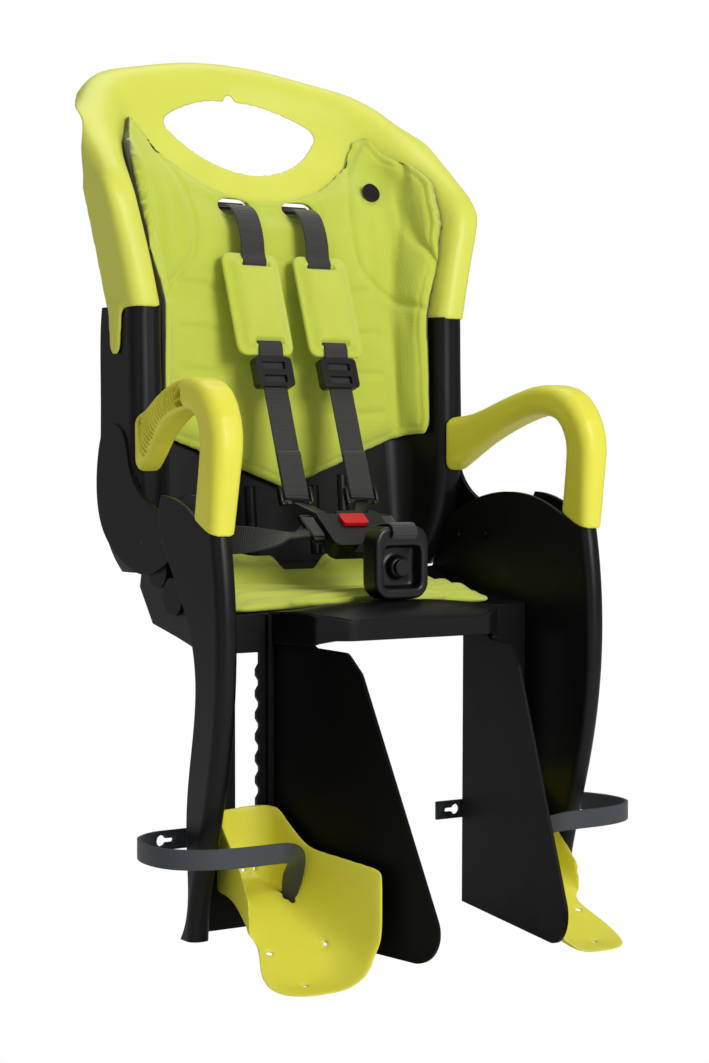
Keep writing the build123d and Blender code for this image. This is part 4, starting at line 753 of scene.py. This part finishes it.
def make_strap_tongue(side, label):
    """The hooked frame under a shoulder strap's end and its flat blade down to the buckle."""
    x = side * STRAP_X
    ways = [np.array((1, 0, 0)), STRAP_WAY, STRAP_OUT]
    work = bmesh.new()
    bar(work, down_strap(x, STRAP_RUN + HOOK_BAR_AT, HOOK_BACK), ways, HOOK_BAR, 1.2)
    for cheek in (-1, 1):
        aside, run = HOOK_CHEEK_AT
        bar(work, down_strap(x + cheek * aside, STRAP_RUN + run, 0), ways, HOOK_CHEEK, 1.2)
        aside, run = HOOK_END_AT
        bar(work, down_strap(x + cheek * aside, STRAP_RUN + run, HOOK_END_OUT), ways, HOOK_END, 1.0)
    root = down_strap(x, STRAP_RUN + BLADE_AT, HOOK_BACK)
    tip = BUCKLE_MIDDLE + np.array((side * TONGUE_END, 0, 0)) + BUCKLE_UP * (BUCKLE_HALF_HEIGHT - 1)
    blade = box_corners(root, (ways[0], ways[2], ways[1]), BLADE_ROOT)[:4]
    blade += box_corners(tip, (ways[0], BUCKLE_OUT, BUCKLE_UP), BLADE_TIP)[:4]
    rounded_block(work, blade, BLADE_BEVEL)
    fitting("tongue_frame_" + label, work, ["strap_tongue_" + label])


def make_waist_tongue(side, label):
    """The hooked plate on the buckle's side that holds a waist strap's end."""
    ways = [np.array((side, 0, 0)), BUCKLE_UP, BUCKLE_OUT]
    back = BUCKLE_OUT * WAIST_PLATE_BACK
    work = bmesh.new()
    bar(work, WAIST_PLATE_MIDDLE + ways[0] * WAIST_PLATE_AT - back, ways, WAIST_PLATE, 1.0)
    bar(work, WAIST_PLATE_MIDDLE + ways[0] * WAIST_BAR_AT - back, ways, WAIST_BAR, 1.2)
    for cheek in (-1, 1):
        aside, up = WAIST_CHEEK_AT
        bar(work, WAIST_PLATE_MIDDLE + ways[0] * aside + BUCKLE_UP * cheek * up, ways, WAIST_CHEEK, 1.2)
    fitting("waist_frame_" + label, work, ["waist_tongue_" + label])


def make_shoulder_pad(side, label):
    """A padded sleeve: a puffed middle inside a flat welded border, the strap's tunnel left open."""
    node = "shoulder_pad_" + label
    low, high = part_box(node)
    middle = (np.array(low) + np.array(high)) / 2
    mesh = remeshed(node, SLEEVE_VOXEL)
    offset = points(mesh) - middle
    out = along(offset, STRAP_OUT)
    from_side = SLEEVE_HALF[0] - np.abs(offset[:, 0])
    from_end = SLEEVE_HALF[1] - np.abs(along(offset, STRAP_WAY))
    inside = np.minimum(from_side, from_end)
    beside = np.abs(offset[:, 0] + side * SLEEVE_OUTWARD * MM)
    tunnel = (beside < TUNNEL_HALF[0]) & (np.abs(out) < TUNNEL_HALF[1]) & (inside > TUNNEL_WITHIN)
    raised = rise(inside, SLEEVE_BORDER, SLEEVE_BORDER + SLEEVE_SHOULDER)
    press = np.where(tunnel, 0.0, out * (SLEEVE_FLATTENED - SLEEVE_FLATTENED * raised))
    set_points(mesh, points(mesh) - press[:, None] * STRAP_OUT)
    mesh = swell(mesh, np.where(tunnel, 0.0, SLEEVE_PUFF * raised))
    relax(mesh, 6, np.where(tunnel, 0.0, 0.5)[:, None])
    mesh = finer(mesh)
    offset = points(mesh) - middle
    front = rise(along(offset, STRAP_OUT), *SLIT_FRONT)
    slit = np.abs(np.abs(along(offset, STRAP_WAY)) - SLIT_ALONG * MM)
    near_strap = 1 - rise(np.abs(offset[:, 0] + side * SLEEVE_OUTWARD * MM), *SLIT_BESIDE)
    pressed = groove(slit, SLIT_SEAM) * near_strap * front
    set_points(mesh, points(mesh) - pressed[:, None] * STRAP_OUT)
    piece = new_object(node + "_cover", mesh, "pad_fabric", "seat", [node])


def make_waist_strap(side, label):
    """The waist strap, on edge at its slot, turned over towards the buckle and folded on its tongue."""
    line = curve_through([(side * x, y, z) for x, y, z in WAIST_LINE], 12)
    way = unit(np.gradient(line, axis=0))
    flat = unit(side * np.cross(way, (0, 0, 1)))
    upright = side * np.cross(flat, way)
    shares, degrees = zip(*WAIST_TURN)
    turn = np.radians(np.interp(np.linspace(0, 1, len(line)), shares, degrees))[:, None]
    across = np.cos(turn) * upright + np.sin(turn) * flat
    end = WAIST_PLATE_MIDDLE + np.array((side * WAIST_BAR_AT, 0, 0))
    fold_ends = [end + np.array((side * aside, 0, 0)) + BUCKLE_OUT * out for aside, out in WAIST_FOLD]
    fold = np.linspace(*fold_ends, 6)
    strips = [(line * MM, across), level(fold * MM, BUCKLE_UP)]
    strap("waist_webbing_" + label, strips, ["waist_strap_" + label])


def make_crotch_strap():
    """The short strap that loops through the bracket's slot and back over its top to the buckle."""
    line = curve_through([(0, *point) for point in CROTCH_LINE], 8) * MM
    strap("crotch_webbing", [level(line, (1, 0, 0))], ["crotch_strap"])


# Mouldings with their edges rounded
MOST_TRIANGLES = 170_000
TURNED_OVER = 0.62
BRACKET_VOXEL = 0.0012
ARMREST_VOXEL = 0.0013
CAP_VOXEL = 0.0016
CAP_ROUND_FROM = (0.38, 0.42)
CAP_ROUND_TIMES = 220
CAP_ROUND_SHARE = 0.9
CAP_EDGE = 0.012
CAP_CORNER = (0.191, 0.138, 0.460)
CAP_CORNER_REACH = (0.026, 0.055)
CAP_CORNER_TIMES = 150
CAP_CORNER_SHARE = 0.8
CAP_FOOT_DROP = 0.0035
CAP_FOOT_BELOW = (0.29, 0.33)
FOOT_VOXEL = 0.0013
FOOT_FLOOR = [(-40, -184), (-90, -205), (-170, -258.8), (-300, -258.8)]
FOOT_WALL_AT = [(-55, 109.2), (-258, 79.2)]
FOOT_COVE = [(-75, 6), (-110, 18), (-170, 42), (-300, 42)]
FOOT_ROUND_BEHIND = (-0.08, -0.06)
FOOT_ROUND_TIMES = 90
FOOT_ROUND_SHARE = 0.8
FOOT_EDGE = 0.010


def thinned(mesh):
    """The mesh with fewer faces where it has too many."""
    form = work_object(mesh)
    fewer = form.modifiers.new("decimate", "DECIMATE")
    fewer.ratio = min(1.0, MOST_TRIANGLES / (2 * len(mesh.polygons)))
    return applied(form)


def inside_edges(mesh, reach):
    """0 at a thin wall's free edges, where the normals turn right over, and 1 from a reach inside."""
    turning = np.linalg.norm(averaged(mesh, normals(mesh), 10), axis=1)
    edges = np.flatnonzero(turning < TURNED_OVER)
    return rise(nearest_of(points(mesh), edges), 0.3 * reach, reach)


def soften(node, voxel, times, name, material, body):
    """A moulded piece of the same form, its edges and creases rounded as a mould leaves them."""
    mesh = remeshed(node, voxel)
    relax(mesh, times)
    new_object(name, thinned(mesh), material, body, [node])


def make_cap():
    """The headrest, with the roll above its handle rounded into the panel and the wings."""
    mesh = remeshed("headrest_shell", CAP_VOXEL)
    relax(mesh, 4)
    upper = rise(points(mesh)[:, 2], *CAP_ROUND_FROM)
    share = CAP_ROUND_SHARE * upper * inside_edges(mesh, CAP_EDGE)
    relax(mesh, CAP_ROUND_TIMES, share[:, None])
    for side, _ in SIDES:
        corner = np.linalg.norm(points(mesh) - np.array(CAP_CORNER) * [side, 1, 1], axis=1)
        share = CAP_CORNER_SHARE * (1 - rise(corner, *CAP_CORNER_REACH))
        relax(mesh, CAP_CORNER_TIMES, share[:, None])
    relax(mesh, 8)
    places = points(mesh)
    places[:, 2] -= CAP_FOOT_DROP * (1 - rise(places[:, 2], *CAP_FOOT_BELOW))
    set_points(mesh, places)
    mesh = thinned(mesh)
    new_object("headrest_moulding", mesh, "cap_plastic", "seat", ["headrest_shell"])


def by_depth(line, depth):
    """A value along the foot's depth, from points given from the heel forward."""
    depths, values = np.array(line)[::-1].T * MM
    return np.interp(depth, depths, values)


def make_footrest(side, label):
    """The footrest, its floor running up into the inner wall in a cove that widens towards the toe."""
    node = "footrest_" + label
    mesh = remeshed(node, FOOT_VOXEL)
    relax(mesh, 10)
    places = points(mesh)
    depth = places[:, 1]
    radius = by_depth(FOOT_COVE, depth)
    aside = radius - (side * places[:, 0] - by_depth(FOOT_WALL_AT, depth))
    below = radius - (places[:, 2] - by_depth(FOOT_FLOOR, depth))
    corner = (aside > 0) & (below > 0) & (depth < FOOT_COVE[0][0] * MM)
    pull = np.where(corner, np.maximum(aside, below) / np.maximum(np.hypot(aside, below), TINY), 1.0)
    places[:, 0] += side * aside * (1 - pull)
    places[:, 2] += below * (1 - pull)
    set_points(mesh, places)
    relax(mesh, 6)
    ahead = 1 - rise(points(mesh)[:, 1], *FOOT_ROUND_BEHIND)
    share = FOOT_ROUND_SHARE * ahead * inside_edges(mesh, FOOT_EDGE)
    relax(mesh, FOOT_ROUND_TIMES, share[:, None])
    mesh = thinned(mesh)
    new_object("footrest_moulding_" + label, mesh, "yellow_plastic", node, [node])


# Foot straps, in millimetres where a value isn't scaled
FOOT_STRAP_Z = -158
FOOT_STRAP_START = [(150, -136, -158), (118, -136, -158), (107.5, -85, -179), (107.5, -85, -211)]
FOOT_STRAP_TURN = [(0, 0, 1), (-1, 0, 0), (0, -1, 0)]
FOOT_STRAP_PLAN = [
    (165, -136), (190, -135), (214, -128), (232, -112), (238, -90),
    (235, -66), (224, -44), (205, -31), (180, -29),
]
FOOT_STRAP_TAIL = (84, -27)
FOOT_STRAP_WIDTH = 0.0165
FOOT_STRAP_THICK = 0.003
KEYHOLES = 4
KEYHOLE_FROM = 20
KEYHOLE_PITCH = 31
KEYHOLE_RADIUS = 4.6
KEYHOLE_SLOT = 10
KEYHOLE_NECK = 1.8
KEYHOLE_CUT = 9


def bezier(knots, shares):
    """Places on a curve by its control points."""
    rows = np.array(knots, dtype=float)
    power = len(rows) - 1
    weights = []
    for index in range(power + 1):
        weights.append(math.comb(power, index) * shares**index * (1 - shares) ** (power - index))
    return np.array(weights).T @ rows


def keyhole(x):
    """The outline of a round hole at x with a slot to one side, about the strap's middle line."""
    mouth = math.asin(KEYHOLE_NECK / KEYHOLE_RADIUS)
    outline = []
    for angle in np.linspace(math.pi + mouth, 3 * math.pi - mouth, 28):
        outline.append((x + KEYHOLE_RADIUS * math.cos(angle), KEYHOLE_RADIUS * math.sin(angle)))
    for angle in np.linspace(math.pi / 2, 3 * math.pi / 2, 9):
        down_slot = x - KEYHOLE_SLOT + KEYHOLE_NECK * math.cos(angle)
        outline.append((down_slot, KEYHOLE_NECK * math.sin(angle)))
    return outline


def keyhole_cutter(side):
    """Prisms of the keyholes, through the strap's tail."""
    work = bmesh.new()
    for index in range(KEYHOLES):
        outline = keyhole(FOOT_STRAP_TAIL[0] + KEYHOLE_FROM + index * KEYHOLE_PITCH)
        rings = []
        for y in (FOOT_STRAP_TAIL[1] - KEYHOLE_CUT, FOOT_STRAP_TAIL[1] + KEYHOLE_CUT):
            places = [np.array((side * u, y, FOOT_STRAP_Z + v)) * MM for u, v in outline]
            rings.append([work.verts.new(place) for place in places])
            work.faces.new(rings[-1])
        near, far = rings
        for first in range(len(outline)):
            second = (first + 1) % len(outline)
            work.faces.new([near[first], near[second], far[second], far[first]])
    bmesh.ops.recalc_face_normals(work, faces=work.faces)
    return finished(work, "keyholes")


def make_foot_strap(side, label):
    """The rubber strap from its slot in the floor, round the leg guard to a tail with keyholes."""
    mirror = (side, 1, 1)
    shares = np.linspace(0, 1, 28)
    start = bezier(FOOT_STRAP_START, shares)[::-1]
    turned = bezier(FOOT_STRAP_TURN, shares)[::-1]
    plan = [FOOT_STRAP_START[0][:2], *FOOT_STRAP_PLAN, FOOT_STRAP_TAIL]
    rest = curve_through([(x, y, FOOT_STRAP_Z) for x, y in plan], 8)[1:]
    line = np.vstack([start, rest])
    across = np.vstack([turned, np.tile((0.0, 0.0, 1.0), (len(rest), 1))])
    way = unit(np.gradient(line, axis=0))
    across = unit(across - along(across, way)[:, None] * way)
    strip = (line * mirror * MM, across * mirror)
    band = work_object(strap_mesh("foot_band", [strip], FOOT_STRAP_WIDTH, FOOT_STRAP_THICK))
    cutter = work_object(keyhole_cutter(side))
    holes = band.modifiers.new("holes", "BOOLEAN")
    holes.operation = "DIFFERENCE"
    holes.object = cutter
    mesh = applied(band)
    bpy.data.objects.remove(cutter)
    node = "foot_strap_" + label
    new_object("foot_band_" + label, mesh, "strap_rubber", "footrest_" + label, [node])


# Stage, light and camera
FLOOR_SIZE = 30
FLOOR_BELOW = 0.002
WORLD_LIGHT = 0.32
PHOTO_HEIGHT = 1063
FOCAL_PIXELS = 2285
SENSOR = 36.0
CAMERA_PLACE = (-1.107, -1.663, 0.156)
CAMERA_DOWN = 1.86
CAMERA_TURN = -34


def add_floor(height):
    """A pale floor under the object, plain white to the camera."""
    bpy.ops.mesh.primitive_plane_add(size=FLOOR_SIZE, location=(0, 0, height))
    floor = bpy.context.object
    floor.name = "floor"
    material, shader = new_material("floor", FLOOR_WHITE, 0.9)
    emission = add_node(material, "ShaderNodeEmission", Color=(1, 1, 1, 1), Strength=1.0)
    path = material.node_tree.nodes.new("ShaderNodeLightPath")
    mix = material.node_tree.nodes.new("ShaderNodeMixShader")
    output = material.node_tree.nodes["Material Output"]
    link(material, path.outputs["Is Camera Ray"], mix.inputs["Fac"])
    link(material, shader.outputs["BSDF"], mix.inputs[1])
    link(material, emission.outputs["Emission"], mix.inputs[2])
    link(material, mix.outputs["Shader"], output.inputs["Surface"])
    floor.data.materials.append(material)


def add_area(name, place, target, size, power):
    """A soft box light."""
    light = bpy.data.lights.new(name, "AREA")
    light.shape = "RECTANGLE"
    light.size, light.size_y = size
    light.energy = power
    lamp = bpy.data.objects.new(name, light)
    scene.collection.objects.link(lamp)
    lamp.location = place
    lamp.rotation_euler = (Vector(target) - Vector(place)).to_track_quat("-Z", "Y").to_euler()


def add_world():
    """A white surround that lights the object softly."""
    world = bpy.data.worlds.new("studio")
    scene.world = world
    world.use_nodes = True
    background = world.node_tree.nodes["Background"]
    background.inputs["Color"].default_value = (1, 1, 1, 1)
    path = world.node_tree.nodes.new("ShaderNodeLightPath")
    strength = world.node_tree.nodes.new("ShaderNodeMapRange")
    strength.inputs["To Min"].default_value = WORLD_LIGHT
    strength.inputs["To Max"].default_value = 1.0
    world.node_tree.links.new(path.outputs["Is Camera Ray"], strength.inputs["Value"])
    world.node_tree.links.new(strength.outputs["Result"], background.inputs["Strength"])


def add_camera():
    """The photograph's view, by its focal length in pixels."""
    data = bpy.data.cameras.new("camera")
    data.sensor_fit = "VERTICAL"
    data.sensor_height = SENSOR
    data.lens = SENSOR * FOCAL_PIXELS / PHOTO_HEIGHT
    camera = bpy.data.objects.new("camera", data)
    scene.collection.objects.link(camera)
    camera.location = CAMERA_PLACE
    camera.rotation_euler = (math.radians(90 - CAMERA_DOWN), 0, math.radians(CAMERA_TURN))
    scene.camera = camera


make_back_pad()
make_seat_pad()
make_crotch_strap()
make_cap()
soften("crotch_bracket", BRACKET_VOXEL, 14, "bracket_moulding", "fitting_black", "seat")
for side, label in SIDES:
    make_shoulder_strap(side, label)
    make_shoulder_pad(side, label)
    make_strap_tongue(side, label)
    make_waist_strap(side, label)
    make_waist_tongue(side, label)
    make_footrest(side, label)
    armrest = "armrest_moulding_" + label
    soften("armrest_" + label, ARMREST_VOXEL, 6, armrest, "yellow_plastic", "seat")
    make_foot_strap(side, label)
scene.view_settings.view_transform = "Standard"
add_world()
add_floor(cad_box[0][2] - FLOOR_BELOW)
add_area("key", (0.4, -2.85, 1.3), (0, 0, 0.05), (1.3, 1.3), 66)
add_area("fill", (-2.1, -1.2, 0.8), (0, 0, 0.1), (1.4, 1.8), 4)
add_area("top", (0.2, 0.6, 2.2), (0, 0, 0.2), (1.8, 1.2), 18)
add_camera()
